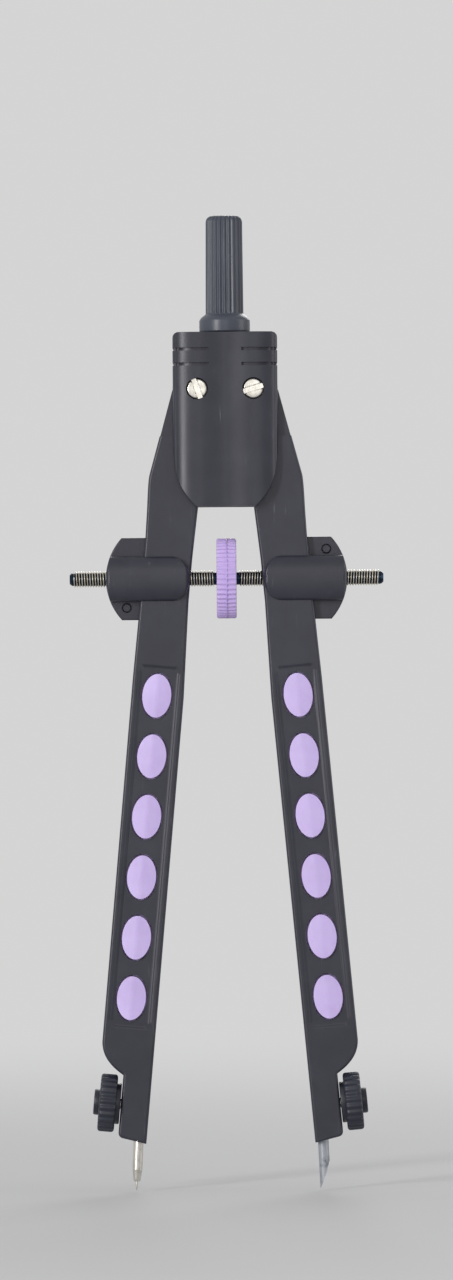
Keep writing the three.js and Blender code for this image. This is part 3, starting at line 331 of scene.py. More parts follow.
def ribbed(
    name: str,
    radius: float,
    depth: float,
    ribs: int,
    stations: Sequence[Flat],
    finesse: int = 8,
) -> Piece:
    """A column about Z with round ribs all along it.

    Args:
        name: the object's name.
        radius: over the ribs.
        depth: of the valleys between them.
        ribs: how many there are.
        stations: (height, share of the radius) from one end to the other.
        finesse: corners for each rib.

    Returns:
        The closed column.
    """
    clear_selection()
    start, first = stations[0]
    bpy.ops.mesh.primitive_circle_add(
        vertices=ribs * finesse, radius=radius, fill_type="NGON", location=(0, 0, 0)
    )
    piece = bpy.context.object
    piece.name = name
    with Bench(piece) as bench:
        for step in range(1, finesse // 2 + 1):
            fall = depth * (1 - math.cos(math.tau * step / finesse)) / 2
            share = 1 - fall / radius

            def on_step(corner: Vector, step: int = step) -> bool:
                """True for the corners that lie this many steps from a rib's crest."""
                turn = math.atan2(corner.y, corner.x) / math.tau * ribs * finesse
                place = round(turn) % finesse
                return place in (step, finesse - step)

            bench.pick(Kind.VERT, on_step)
            bpy.ops.transform.resize(value=(share, share, 1), center_override=(0, 0, 0))
        bpy.ops.mesh.select_all(action="SELECT")
        bpy.ops.transform.translate(value=(0, 0, start))
        bpy.ops.transform.resize(value=(first, first, 1), center_override=(0, 0, start))
        size = first
        for (low, _), (high, share) in zip(stations, stations[1:]):
            bpy.ops.mesh.extrude_region_move(
                TRANSFORM_OT_translate={"value": (0, 0, high - low)}
            )
            ratio = share / size
            bpy.ops.transform.resize(value=(ratio, ratio, 1), center_override=(0, 0, high))
            size = share
        bench.tidy()
    return piece


def set_down(name: str) -> Piece:
    """Names the primitive that was just added and applies its place, turn and size."""
    bpy.ops.object.transform_apply(location=True, rotation=True, scale=True)
    tool = bpy.context.object
    tool.name = name
    return tool


def cylinder(
    name: str, axis: str, at: Flat, radius: float, low: float, high: float, sides: int = 64
) -> Piece:
    """A cylinder used as a cutting or joining tool.

    Args:
        name: the object's name.
        axis: the letter of the axis that it lies along.
        at: its place across that axis, in the order of the other two letters.
        radius: its radius.
        low: where it starts along the axis.
        high: where it ends along the axis.
        sides: how many faces go round.

    Returns:
        The cylinder.
    """
    middle = (low + high) / 2
    place = {
        "x": (middle, at[0], at[1]),
        "y": (at[0], middle, at[1]),
        "z": (at[0], at[1], middle),
    }[axis]
    turn = {"x": (0, math.pi / 2, 0), "y": (math.pi / 2, 0, 0), "z": (0, 0, 0)}[axis]
    clear_selection()
    bpy.ops.mesh.primitive_cylinder_add(
        vertices=sides, radius=radius, depth=high - low, location=place, rotation=turn
    )
    return set_down(name)


def brick(name: str, low: Point, high: Point) -> Piece:
    """A block between two corners, used as a cutting tool.

    Args:
        name: the object's name.
        low: the corner with the lowest values.
        high: the corner with the highest values.

    Returns:
        The block.
    """
    clear_selection()
    size = tuple(b - a for a, b in zip(low, high))
    middle = tuple((a + b) / 2 for a, b in zip(low, high))
    bpy.ops.mesh.primitive_cube_add(size=1, location=middle, scale=size)
    return set_down(name)


def combine(piece: Piece, how: Cut, *tools: Piece) -> Piece:
    """Cuts, joins or intersects a piece with tools, which are used up.

    Args:
        piece: the piece that is shaped.
        how: what is done with each tool.
        tools: the tool objects, in order.

    Returns:
        The shaped piece.
    """
    for tool in tools:
        modifier = piece.modifiers.new("shape", "BOOLEAN")
        modifier.operation = how.value
        modifier.solver = "EXACT"
        modifier.object = tool
        activate(piece)
        bpy.ops.object.modifier_apply(modifier=modifier.name)
        bpy.data.objects.remove(tool)
    return piece


def merged(name: str, pieces: Iterable[Piece]) -> Piece:
    """Several meshes as one object.

    Args:
        name: the joined object's name.
        pieces: what is joined; they don't touch each other.

    Returns:
        The joined object.
    """
    parts = list(pieces)
    activate(parts[0])
    for part in parts[1:]:
        part.select_set(True)
    bpy.ops.object.join()
    parts[0].name = name
    return parts[0]


def ease(piece: Piece, width: float, degrees: float = 40, steps: int = 3) -> Piece:
    """Rounds a piece's sharp edges.

    Args:
        piece: what is rounded.
        width: of the round.
        degrees: edges sharper than this are rounded.
        steps: faces across the round.

    Returns:
        The piece.
    """
    with Bench(piece) as bench:
        bench.pick_sharp(degrees)
        bpy.ops.mesh.bevel(offset=width, segments=steps, clamp_overlap=True)
        bench.tidy()
    return piece


def duplicate(piece: Piece, name: str) -> Piece:
    """A copy of a piece with its own mesh.

    Args:
        piece: what is copied.
        name: the copy's name.

    Returns:
        The copy.
    """
    copy = piece.copy()
    copy.data = piece.data.copy()
    copy.name = name
    bpy.context.scene.collection.objects.link(copy)
    return copy


def put(piece: Piece, place: Matrix) -> Piece:
    """Moves a piece's mesh to its place and leaves its object at the origin.

    Args:
        piece: what is moved.
        place: the move, in millimetres.

    Returns:
        The piece.
    """
    activate(piece)
    piece.matrix_world = place @ piece.matrix_world
    bpy.ops.object.transform_apply(location=True, rotation=True, scale=True)
    if place.determinant() < 0:
        with Bench(piece):
            bpy.ops.mesh.select_all(action="SELECT")
            bpy.ops.mesh.normals_make_consistent(inside=False)
    return piece


def carried_over(node: str, name: str) -> Piece:
    """A merged copy of a frame node's mesh, in millimetres.

    Args:
        node: the frame node.
        name: the copy's name.

    Returns:
        The copy, free of any body.
    """
    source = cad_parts[node]
    copy = bpy.data.objects.new(name, source.data.copy())
    copy.data.materials.clear()
    bpy.context.scene.collection.objects.link(copy)
    put(copy, Matrix.Scale(1 / MM, 4))
    bpy.ops.mesh.customdata_custom_splitnormals_clear()
    with Bench(copy) as bench:
        bench.tidy()
    return copy


def trim(piece: Piece, height: float, keep_above: bool) -> Piece:
    """Cuts a piece flat at a height.

    Args:
        piece: what is cut.
        height: of the cut.
        keep_above: keeps what is above the cut, instead of what is below.

    Returns:
        The piece.
    """
    far = 300.0
    low, high = (-far, height) if keep_above else (height, far)
    return combine(piece, Cut.AWAY, brick("trim", (-far, -far, low), (far, far, high)))


def hand_over(
    piece: Piece, body: str, slot: Slot, nodes: Sequence[str], smooth: float = 35
) -> Piece:
    """Finishes a piece: metres, shading, finish, body and the nodes that it stands for.

    Args:
        piece: the modelled piece, in millimetres.
        body: the frame body that it rides on.
        slot: the material slot of its finish.
        nodes: the frame nodes that it replaces.
        smooth: faces that meet at less than this many degrees are shaded as one surface.

    Returns:
        The finished piece.
    """
    put(piece, Matrix.Scale(MM, 4))
    activate(piece)
    bpy.ops.object.shade_smooth_by_angle(angle=math.radians(smooth))
    weighted = piece.modifiers.new("shading", "WEIGHTED_NORMAL")
    weighted.keep_sharp = True
    bpy.ops.object.modifier_apply(modifier=weighted.name)
    piece.data.materials.clear()
    piece.data.materials.append(LOOKS[slot])
    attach(piece, body)
    if nodes:
        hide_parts(*nodes)
    faces = len(piece.data.polygons)
    LOG.info("%s rides on %s as %s, %d faces", piece.name, body, slot.value, faces)
    return piece


# ---------------------------------------------------------------- outlines
def arc(centre: Flat, radius: float, start: float, end: float, steps: int = 8) -> list[Flat]:
    """Points on an arc.

    Args:
        centre: of the arc.
        radius: of the arc.
        start: first angle in degrees.
        end: last angle in degrees.
        steps: how many chords.

    Returns:
        The points, both ends included.
    """
    angles = [math.radians(start + (end - start) * i / steps) for i in range(steps + 1)]
    return [(centre[0] + radius * math.cos(a), centre[1] + radius * math.sin(a)) for a in angles]


def curve(corners: Sequence[Flat], steps: int = 10) -> list[Flat]:
    """Points on a Bezier curve of two or three handles.

    Args:
        corners: the start, the handles and the end.
        steps: how many chords.

    Returns:
        The points, both ends included.
    """
    found = []
    for i in range(steps + 1):
        layer = [Vector(corner) for corner in corners]
        while len(layer) > 1:
            layer = [a.lerp(b, i / steps) for a, b in zip(layer, layer[1:])]
        found.append(tuple(layer[0]))
    return found


def rounded_rectangle(x0: float, z0: float, x1: float, z1: float, radius: float) -> list[Flat]:
    """The outline of a rectangle with round corners, anticlockwise.

    Args:
        x0: lowest x.
        z0: lowest z.
        x1: highest x.
        z1: highest z.
        radius: of the corners.

    Returns:
        The outline.
    """
    r = radius
    return [
        *arc((x1 - r, z0 + r), r, -90, 0),
        *arc((x1 - r, z1 - r), r, 0, 90),
        *arc((x0 + r, z1 - r), r, 90, 180),
        *arc((x0 + r, z0 + r), r, 180, 270),
    ]


def ellipse(centre: Flat, half_width: float, half_height: float, steps: int = 72) -> list[Flat]:
    """The outline of an ellipse.

    Args:
        centre: of the ellipse.
        half_width: along x.
        half_height: along z.
        steps: how many chords.

    Returns:
        The outline.
    """
    return [
        (
            centre[0] + half_width * math.cos(math.tau * i / steps),
            centre[1] + half_height * math.sin(math.tau * i / steps),
        )
        for i in range(steps)
    ]


# ---------------------------------------------------------------- places
def box_mm(node: str) -> tuple[Vector, Vector]:
    """A frame node's lowest and highest corner in millimetres.

    Args:
        node: the frame node.

    Returns:
        Both corners.
    """
    low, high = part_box(node)
    return low / MM, high / MM


@dataclass(frozen=True)
class Places:
    """Where the frame's main features are, in millimetres."""

    pivot_half: float
    pivot_height: float
    head_top: float
    head_bottom: float
    head_half: float
    head_front: float
    screw_face: float
    screw_seat: float
    leg_half: float
    spindle_height: float
    spindle_radius: float
    spindle_half: float
    block_x: float
    handle_top: float
    leg_tilt: float

    @classmethod
    def read(cls, leg_tilt: float) -> "Places":
        """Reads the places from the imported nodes' boxes.

        Args:
            leg_tilt: how far each leg leans outwards, in degrees.

        Returns:
            The places.
        """
        head_low, head_high = box_mm("head_front_shell")
        screw_low, screw_high = box_mm("pivot_screw_right")
        rod_low, rod_high = box_mm("spindle_rod")
        block_low, block_high = box_mm("swivel_block_right")
        sleeve_low, _ = box_mm("pivot_sleeve_right")
        leg_low, _ = box_mm("leg_right")
        return cls(
            pivot_half=(screw_low.x + screw_high.x) / 2,
            pivot_height=(screw_low.z + screw_high.z) / 2,
            head_top=head_high.z,
            head_bottom=head_low.z,
            head_half=head_high.x,
            head_front=-head_low.y,
            screw_face=-screw_low.y,
            screw_seat=0.1 - sleeve_low.y,
            leg_half=-leg_low.y,
            spindle_height=(rod_low.z + rod_high.z) / 2,
            spindle_radius=(rod_high.z - rod_low.z) / 2,
            spindle_half=rod_high.x,
            block_x=(block_low.x + block_high.x) / 2,
            handle_top=box_mm("handle")[1].z,
            leg_tilt=leg_tilt,
        )

    def leg(self, side: Side, axis_offset: float) -> Matrix:
        """The frame of a leg's middle line: X outwards, Z up from the pivot.

        Args:
            side: which leg.
            axis_offset: from the pivot out to the middle line.

        Returns:
            The move from that frame to the compass's, in millimetres.
        """
        sign = side.value
        return (
            Matrix.Translation((sign * self.pivot_half, 0, self.pivot_height))
            @ Matrix.Rotation(math.radians(-sign * self.leg_tilt), 4, "Y")
            @ Matrix.Diagonal((sign, 1, 1, 1))
            @ Matrix.Translation((axis_offset, 0, 0))
        )

    def housing(self, side: Side) -> Matrix:
        """The frame of a release housing about its trunnion, with X outwards.

        Args:
            side: which housing.

        Returns:
            The move from that frame to the compass's, in millimetres.
        """
        turn = math.pi if side is Side.LEFT else 0.0
        place = Matrix.Translation((side.value * self.block_x, 0, self.spindle_height))
        return place @ Matrix.Rotation(turn, 4, "Y")


@dataclass(frozen=True)
class Release:
    """What a leg, its swivel block and its housing have in common, in millimetres."""

    swing: float = 27.0  # of a leg, from rest
    travel: float = 1.0  # of a housing
    waist: float = 4.6  # leg's middle line to its outer edge at the spindle
    block_half: float = 2.2
    block_high: float = 2.35
    tunnel_half: float = 2.2
    tunnel_level: float = 0.6
    trunnion_bore: float = 1.38
    flange_radius: float = 11.4
    flange_high: float = 7.7
    flange_half: float = 1.2
    flange_start: float = 3.6
    gap: float = 0.2  # between the flange and its slot
    wire: float = 0.26
    coil_gap: float = 0.08  # between the spindle and the spring
    seat: float = 0.1  # between pieces that are seated on each other
    nose_gap: float = 0.3

    def tilt(self, places: Places) -> float:
        """A leg's lean at its widest swing, in radians."""
        return math.radians(places.leg_tilt + self.swing)

    def nose(self, places: Places) -> float:
        """Where a housing's closed end starts, clear of the leg at its widest swing."""
        return self.waist / math.cos(self.tilt(places)) + self.travel + self.nose_gap


# ---------------------------------------------------------------- finishes
Colour = tuple[float, float, float]
Term = "Value | float"


def linear(code: str) -> Colour:
    """A screen colour as the linear colour that shaders use.

    Args:
        code: six hexadecimal digits.

    Returns:
        Red, green and blue.
    """
    parts = [int(code[i : i + 2], 16) / 255 for i in (0, 2, 4)]
    return tuple(p / 12.92 if p <= 0.04045 else ((p + 0.055) / 1.055) ** 2.4 for p in parts)


class Value:
    """A socket that takes part in Python arithmetic; each step adds one Math node."""

    def __init__(self, graph: "Graph", socket: bpy.types.NodeSocket) -> None:
        """Keeps the socket and the graph that its Math nodes go to."""
        self.graph = graph
        self.socket = socket

    def math(self, operation: str, *terms: "Term") -> "Value":
        """Adds a Math node.

        Args:
            operation: the node's operation.
            terms: its inputs, in order.

        Returns:
            The node's result.
        """
        inputs = dict(enumerate(terms))
        node = self.graph.node("ShaderNodeMath", {"operation": operation}, inputs)
        return Value(self.graph, node.outputs[0])

    def __add__(self, other: "Term") -> "Value":
        """self + other."""
        return self.math("ADD", self, other)

    def __sub__(self, other: "Term") -> "Value":
        """self - other."""
        return self.math("SUBTRACT", self, other)

    def __mul__(self, other: "Term") -> "Value":
        """self * other."""
        return self.math("MULTIPLY", self, other)

    def __pow__(self, other: "Term") -> "Value":
        """self ** other."""
        return self.math("POWER", self, other)

    def ramp(self, low: float, high: float) -> "Value":
        """A smooth step from 0 at low to 1 at high."""
        node = self.graph.node(
            "ShaderNodeMapRange",
            {"interpolation_type": "SMOOTHSTEP"},
            {"Value": self, "From Min": low, "From Max": high},
        )
        return Value(self.graph, node.outputs[0])


class Graph:
    """The node tree of one finish, on the piece's own Object coordinates in metres."""

    def __init__(self, name: str) -> None:
        """Makes a material that holds one Principled shader.

        Args:
            name: the material's name.
        """
        self.look = bpy.data.materials.new(name)
        self.look.use_nodes = True
        self.tree = self.look.node_tree
        self.shader = self.tree.nodes["Principled BSDF"]
        self.place = self.node("ShaderNodeTexCoord").outputs["Object"]

    def node(
        self,
        kind: str,
        settings: dict[str, object] | None = None,
        inputs: dict[str | int, object] | None = None,
    ) -> bpy.types.Node:
        """Adds a node.

        Args:
            kind: the node's type.
            settings: its own properties, which are set first.
            inputs: values or links, by a socket's name or number.

        Returns:
            The node.
        """
        node = self.tree.nodes.new(kind)
        for key, setting in (settings or {}).items():
            setattr(node, key, setting)
        for key, source in (inputs or {}).items():
            if isinstance(source, Value):
                source = source.socket
            if isinstance(source, bpy.types.NodeSocket):
                self.tree.links.new(source, node.inputs[key])
            else:
                node.inputs[key].default_value = source
        return node

    def stretched(self, scale: Point, turn: Point = (0, 0, 0)) -> bpy.types.NodeSocket:
        """The piece's coordinates scaled and turned.

        Args:
            scale: how often the pattern repeats along each axis, against the others.
            turn: rotation in degrees.

        Returns:
            The vector socket.
        """
        angles = tuple(math.radians(angle) for angle in turn)
        inputs = {"Vector": self.place, "Rotation": angles, "Scale": scale}
        return self.node("ShaderNodeMapping", None, inputs).outputs[0]

    def noise(
        self,
        size_mm: float,
        detail: float = 2,
        vector: bpy.types.NodeSocket | None = None,
    ) -> Value:
        """Cloudy noise from 0 to 1.

        Args:
            size_mm: the size of one cloud.
            detail: how many finer layers it has.
            vector: coordinates other than the piece's own.

        Returns:
            The noise.
        """
        node = self.node(
            "ShaderNodeTexNoise",
            None,
            {
                "Vector": vector or self.place,
                "Scale": 1 / (size_mm * MM),
                "Detail": detail,
                "Roughness": 0.55,
            },
        )
        return Value(self, node.outputs["Fac"])

    def blend(self, share: "Term", first: object, second: object) -> bpy.types.NodeSocket:
        """Mixes two colours.

        Args:
            share: of the second colour.
            first: a colour or a colour socket.
            second: a colour or a colour socket.

        Returns:
            The mixed colour.
        """
        pads = [
            (*colour, 1.0) if isinstance(colour, tuple) else colour for colour in (first, second)
        ]
        node = self.node(
            "ShaderNodeMix", {"data_type": "RGBA"}, {0: share, 6: pads[0], 7: pads[1]}
        )
        return node.outputs[2]

    def coat(self, **uniform: object) -> None:
        """Sets values that are the same all over the surface on the shader itself.

        Args:
            uniform: socket names with underscores for spaces.
        """
        for key, setting in uniform.items():
            self.shader.inputs[key.replace("_", " ")].default_value = setting

    def feed(
        self,
        colour: bpy.types.NodeSocket,
        roughness: Value,
        height: Value,
        height_mm: float,
    ) -> Look:
        """Links what changes over the surface to the shader.

        Args:
            colour: the base colour.
            roughness: the roughness.
            height: the bump's height from 0 to 1.
            height_mm: how high 1 is.

        Returns:
            The finished material.
        """
        bump = self.node(
            "ShaderNodeBump",
            None,
            {"Strength": 1.0, "Distance": height_mm * MM, "Height": height},
        )
        self.tree.links.new(colour, self.shader.inputs["Base Color"])
        self.tree.links.new(roughness.socket, self.shader.inputs["Roughness"])
        self.tree.links.new(bump.outputs[0], self.shader.inputs["Normal"])
        return self.look


@dataclass(frozen=True)
class Moulding:
    """Moulded plastic: spark grain, soft flow marks, a little dust and fine hairline scuffs."""

    name: str
    colour: str
    flow: str
    roughness: float
    grain_mm: float = 0.11
    grain_height_mm: float = 0.006
    gloss: float = 0.4
    sheen: float = 0.0
    sheen_colour: str = "2a3a6a"
    glow: float = 0.0
    scuff: float = 0.10

    def look(self) -> Look:
        """Builds the material.

        Returns:
            The material.
        """
        graph = Graph(self.name)
        clouds = graph.noise(6.0, 3)
        grain = graph.noise(self.grain_mm, 2)
        hairs = graph.noise(0.35, 3, graph.stretched((1, 1, 0.035), (0, 24, 0)))
        scuffs = hairs.ramp(0.66, 0.76) * clouds.ramp(0.45, 0.7)
        body = graph.blend(clouds.ramp(0.3, 0.75), linear(self.colour), linear(self.flow))
        speckled = graph.blend(grain.ramp(0.62, 0.8) * 0.35, body, linear(self.flow))
        wear_and_painted_light = graph.blend(scuffs * self.scuff, speckled, (0.75, 0.76, 0.8))
        roughness = (clouds - 0.5) * 0.10 + (grain - 0.5) * 0.08 + scuffs * 0.08 + self.roughness
        graph.coat(
            Specular_IOR_Level=self.gloss,
            Sheen_Weight=self.sheen,
            Sheen_Roughness=0.4,
            Sheen_Tint=(*linear(self.sheen_colour), 1.0),
            Subsurface_Weight=self.glow,
            Subsurface_Scale=1.5 * MM,
        )
        height = grain * 0.8 + scuffs * -0.4 + graph.noise(1.4, 2) * 0.5
        return graph.feed(wear_and_painted_light, roughness, height, self.grain_height_mm)


@dataclass(frozen=True)
class Metal:
    """Machined metal: fine turning marks along one way, stains and small bright scratches."""

    name: str
    colour: str
    stain: str
    roughness: float
    lay: Point
    lay_mm: float = 0.25
    height_mm: float = 0.004
    metallic: float = 1.0

    def look(self) -> Look:
        """Builds the material.

        Returns:
            The material.
        """
        graph = Graph(self.name)
        clouds = graph.noise(1.6, 3)
        marks = graph.noise(self.lay_mm, 4, graph.stretched(self.lay))
        scratches = graph.noise(0.5, 3, graph.stretched((1, 1, 0.05), (0, 35, 10)))
        bright = scratches.ramp(0.62, 0.7)
        stained = graph.blend(clouds.ramp(0.45, 0.75), linear(self.colour), linear(self.stain))
        streaked = graph.blend(marks.ramp(0.4, 0.75) * 0.4, stained, linear(self.stain))
        colour = graph.blend(bright * 0.35, streaked, linear(self.colour))
        roughness = (marks - 0.5) * 0.22 + (clouds - 0.5) * 0.12 + self.roughness
        graph.coat(Metallic=self.metallic, Specular_IOR_Level=0.5)
        height = marks + bright * -0.5
        return graph.feed(colour, roughness, height, self.height_mm)


@dataclass(frozen=True)
class Threaded:
    """Steel coloured by distance from the axis: painted shade in the thread's root, a painted highlight
    along its crest.
    """

    name: str
    # crest is the painted highlight's colour, root the painted shade's colour
    crest: str
    root: str
    axis_mm: float
    root_mm: float
    crest_mm: float
    roughness: float = 0.3

    def look(self) -> Look:
        """Builds the material.

        Returns:
            The material.
        """
        graph = Graph(self.name)
        split = graph.node("ShaderNodeSeparateXYZ", None, {0: graph.place})
        across = Value(graph, split.outputs["Y"])
        up = Value(graph, split.outputs["Z"]) - self.axis_mm * MM
        radius = (across * across + up * up) ** 0.5
        clouds = graph.noise(1.1, 3)
        # painted highlight on the crest and painted shade in the root, set by radius, with a random tone
        # from the clouds
        wear_and_painted_light = radius.ramp(self.root_mm * MM, self.crest_mm * MM) * (clouds * 0.5 + 0.7)
        colour = graph.blend(wear_and_painted_light, linear(self.root), linear(self.crest))
        roughness = (clouds - 0.5) * 0.15 + self.roughness
        graph.coat(Metallic=0.9, Specular_IOR_Level=0.5)
        return graph.feed(colour, roughness, graph.noise(0.15, 2), 0.003)


FINISHES: dict[Slot, Moulding | Metal | Threaded] = {
    Slot.BLACK_BODY: Moulding(
        "satin_black", "282832", "2f2f39", 0.36, sheen=0.10, grain_height_mm=0.010
    ),
    Slot.HANDLE_PLASTIC: Moulding("fluted_black", "3c404a", "444852", 0.36, sheen=0.10),
    Slot.KNOB_PLASTIC: Moulding("knob_black", "23252f", "2b2d37", 0.38, sheen=0.12),
    Slot.LILAC_INLAY: Moulding(
        "lilac_inlay", "c0aedd", "b8a5d5", 0.42, glow=0.06, scuff=0.05, grain_height_mm=0.004
    ),
    Slot.LILAC_WHEEL: Moulding(
        "lilac_wheel", "bca6da", "b49ed3", 0.42, glow=0.05, scuff=0.05, grain_height_mm=0.004
    ),
    Slot.BRIGHT_STEEL: Metal("bright_steel", "dedad1", "c2beb5", 0.32, (1, 1, 0.06)),
    # the spindle's dark root colour is painted shade and its cream crest colour a painted highlight
    Slot.SPINDLE_STEEL: Threaded("spindle_steel", "efe8d6", "1b2a3a", 114.6446, 1.27, 1.46),
    Slot.BRASS: Metal("brass", "c9a75c", "96783b", 0.34, (0.05, 1, 1)),
    Slot.NYLON: Moulding("nylon", "e4e1d8", "d8d4c8", 0.55, glow=0.1),
    Slot.GRAPHITE: Metal("graphite", "9a9ea4", "6f7378", 0.42, (1, 1, 0.03), metallic=0.35),
}
LOOKS: dict[Slot, Look] = {slot: finish.look() for slot, finish in FINISHES.items()}


# ---------------------------------------------------------------- handle and head
@dataclass
class Handle:
    """The fluted grip with its flared collar."""

    places: Places
    base_radius: float = 3.55
    top_radius: float = 3.42
    flutes: int = 24
    flute_depth: float = 0.34
    edge: float = 1.15
    collar_radius: float = 4.75
    collar_height: float = 3.2
    collar_wall: float = 2.1
    bore: float = 1.58
    bore_depth: float = 15.1

    def build(self) -> Piece:
        """Models the grip.

        Returns:
            The finished grip.
        """
        base = self.places.head_top + 0.1
        top = self.places.handle_top
        foot = base + self.collar_height - 1.5
        share = self.top_radius / self.base_radius
        stations = [(foot, 1.0), (top - self.edge, share)]
        for angle in (22.5, 45, 67.5, 90):
            turn = math.radians(angle)
            radius = self.top_radius - self.edge * (1 - math.cos(turn))
            height = top - self.edge * (1 - math.sin(turn))
            stations.append((height, radius / self.base_radius))
        grip = ribbed("grip", self.base_radius, self.flute_depth, self.flutes, stations, 8)
        flare = curve(
            [
                (self.collar_radius, base + self.collar_wall),
                (self.collar_radius - 0.3, base + self.collar_height - 0.25),
                (self.base_radius + 0.1, base + self.collar_height - 0.1),
                (self.base_radius - 0.1, base + self.collar_height + 0.35),
            ],
            8,
        )
        collar = turned(
            "collar",
            [
                (0, base),
                (self.collar_radius - 0.25, base),
                (self.collar_radius - 0.07, base + 0.07),
                (self.collar_radius, base + 0.25),
                *flare,
                (0, base + self.collar_height + 0.35),
            ],
            90,
        )
        combine(grip, Cut.JOIN, collar)
        bore = cylinder(
            "bore", "z", (0, 0), self.bore, base - 1, self.places.head_top + self.bore_depth, 50
        )
        combine(grip, Cut.AWAY, bore)
        return hand_over(grip, "head", Slot.HANDLE_PLASTIC, ["handle"], 50)


@dataclass
class Head:
    """The two shells that hold the legs, and the screws and sleeves of their pivots."""

    places: Places
    ridge: float = 5.0
    valley: float = 0.6
    valley_ease: float = 1.3
    side_depth: float = 3.6
    cheek: float = 0.6
    fall: float = 1.8
    seam: float = 0.05
    slot_half: float = 3.15
    slot_above_pivot: float = 5.1
    foot_half: float = 5.45
    top_corner: float = 1.1
    groove_drops: tuple[float, float] = (3.2, 6.0)
    groove_width: float = 0.6
    groove_depth: float = 0.6
    groove_start: float = 3.05
    screw_radius: float = 1.93
    sleeve_head: float = 2.2
    screw_turns: tuple[float, float] = (20.0, -73.0)

    def section(self, inset: float) -> list[Flat]:
        """Half of the head's section in X and Y, from its right side round the front.

        Args:
            inset: how far inside the surface.

        Returns:
            The corners from (side, 0) to (-side, 0).
        """
        side = self.places.head_half - inset
        front = self.places.head_front - inset
        shoulder = (self.places.head_front + self.side_depth) / 2 - inset
        cheek = (side - self.cheek, -shoulder)
        dip = [
            (self.ridge, -front),
            (self.ridge - self.valley_ease, -front),
            (self.valley_ease, self.valley - front),
            (0.0, self.valley - front),
        ]
        right = [
            (side, 0.0),
            *curve([(side, -self.side_depth), (side, 0.2 - shoulder), cheek], 6),
            *curve([cheek, (side - self.fall, -front), (self.ridge, -front)], 14)[1:],
            *curve(dip, 14)[1:-1],
        ]
        return [*right, (0.0, self.valley - front), *((-x, y) for x, y in reversed(right))]

    def outline(self) -> list[Flat]:
        """The head from the front: straight sides over a round lower end with a flat foot."""
        side, top, low = self.places.head_half, self.places.head_top, self.places.head_bottom
        corner = self.top_corner
        foot = [(self.foot_half, low), (side - 0.55, low + 3.6), (side - 0.35, low + 8)]
        right = [
            (self.foot_half, low),
            *curve(foot, 12)[1:],
            (side, low + 11.6),
            *arc((side - corner, top - corner), corner, 0, 90),
        ]
        return right + [(-x, z) for x, z in reversed(right)]

    def grooves(self) -> list[Piece]:
        """The tools that cut the finger grooves, which follow the head's section."""
        side = self.places.head_half + 1
        front = -self.places.head_front - 1
        wall = self.places.head_half - self.groove_depth - 0.01
        floor = [
            (self.places.head_half - 0.15 if x > wall else x, y)
            for x, y in self.section(self.groove_depth)
            if x > self.groove_start
        ]
        lip = (self.groove_start, floor[-1][1])
        tools = []
        for drop in self.groove_drops:
            low = self.places.head_top - drop - self.groove_width / 2
            for sign in (-1, 1):
                line = [*floor, lip, (self.groove_start, front), (side, front), (side, 0.0)]
                corners = [(sign * x, y, low) for x, y in line]
                tools.append(beam("groove", corners, (0, 0, self.groove_width)))
        return tools

    def shell(self, name: str, recess: float) -> Piece:
        """Models one shell, as the front one.

        Args:
            name: the piece's name.
            recess: radius of the recesses over the pivots.

        Returns:
            The shell in millimetres.
        """
        at = self.places
        low = at.head_bottom - 1
        corners = [(x, min(y, -self.seam), low) for x, y in self.section(0)]
        body = beam(name, corners, (0, 0, at.head_top - low + 1))
        combine(body, Cut.COMMON, plate("face", self.outline(), -at.head_front - 1, 1))
        ease(body, 0.28, 38)
        slot_top = at.pivot_height + self.slot_above_pivot
        wide = at.head_half + 1
        slot = brick("slot", (-wide, -self.slot_half, low), (wide, 1, slot_top))
        combine(body, Cut.AWAY, slot, merged("grooves", self.grooves()))
        for sign in (-1, 1):
            centre = (sign * at.pivot_half, at.pivot_height)
            combine(
                body,
                Cut.AWAY,
                cylinder("recess", "y", centre, recess, -at.head_front - 1, -at.screw_seat),
                cylinder("bore", "y", centre, 1.6, -at.head_front - 1, 0),
            )
        flange = at.head_top - 3.4
        combine(
            body,
            Cut.AWAY,
            cylinder("stud_bore", "z", (0, 0), 1.6, at.head_top - 4.5, at.head_top + 1),
            cylinder("stud_flange", "z", (0, 0), 2.5, flange - 0.1, flange + 1.1),
        )
        return body

    def screw(self, side: Side) -> Piece:
        """Models a pivot screw with a domed, slotted head."""
        at = self.places
        radius = self.screw_radius
        seat, face = at.screw_seat, at.screw_face
        profile = [
            (0, -(at.screw_seat - 1.2)),
            (0.8, -(at.screw_seat - 1.2)),
            (0.8, seat),
            (radius - 0.12, seat),
            (radius, seat + 0.12),
            *curve([(radius, face - 0.3), (radius - 0.05, face - 0.1), (radius - 0.35, face - 0.06)], 5),
            *curve([(radius - 0.35, face - 0.06), (radius / 2, face), (0, face)], 5)[1:],
        ]
        piece = turned(f"pivot_screw_head_{side.tag}", profile)
        combine(piece, Cut.AWAY, brick("slot", (-0.62, -3, face - 0.4), (0.62, 3, face + 1)))
        for edge in (-0.54, 0.54):
            low, high = (edge - 0.08, -3, face - 1.0), (edge + 0.08, 3, face)
            combine(piece, Cut.AWAY, brick("slot_edge", low, high))
        angle = self.screw_turns[0] if side is Side.LEFT else self.screw_turns[1]
        return put(
            piece,
            Matrix.Translation((side.value * at.pivot_half, 0, at.pivot_height))
            @ Matrix.Rotation(math.radians(-angle), 4, "Y")
            @ Matrix.Rotation(math.pi / 2, 4, "X"),
        )

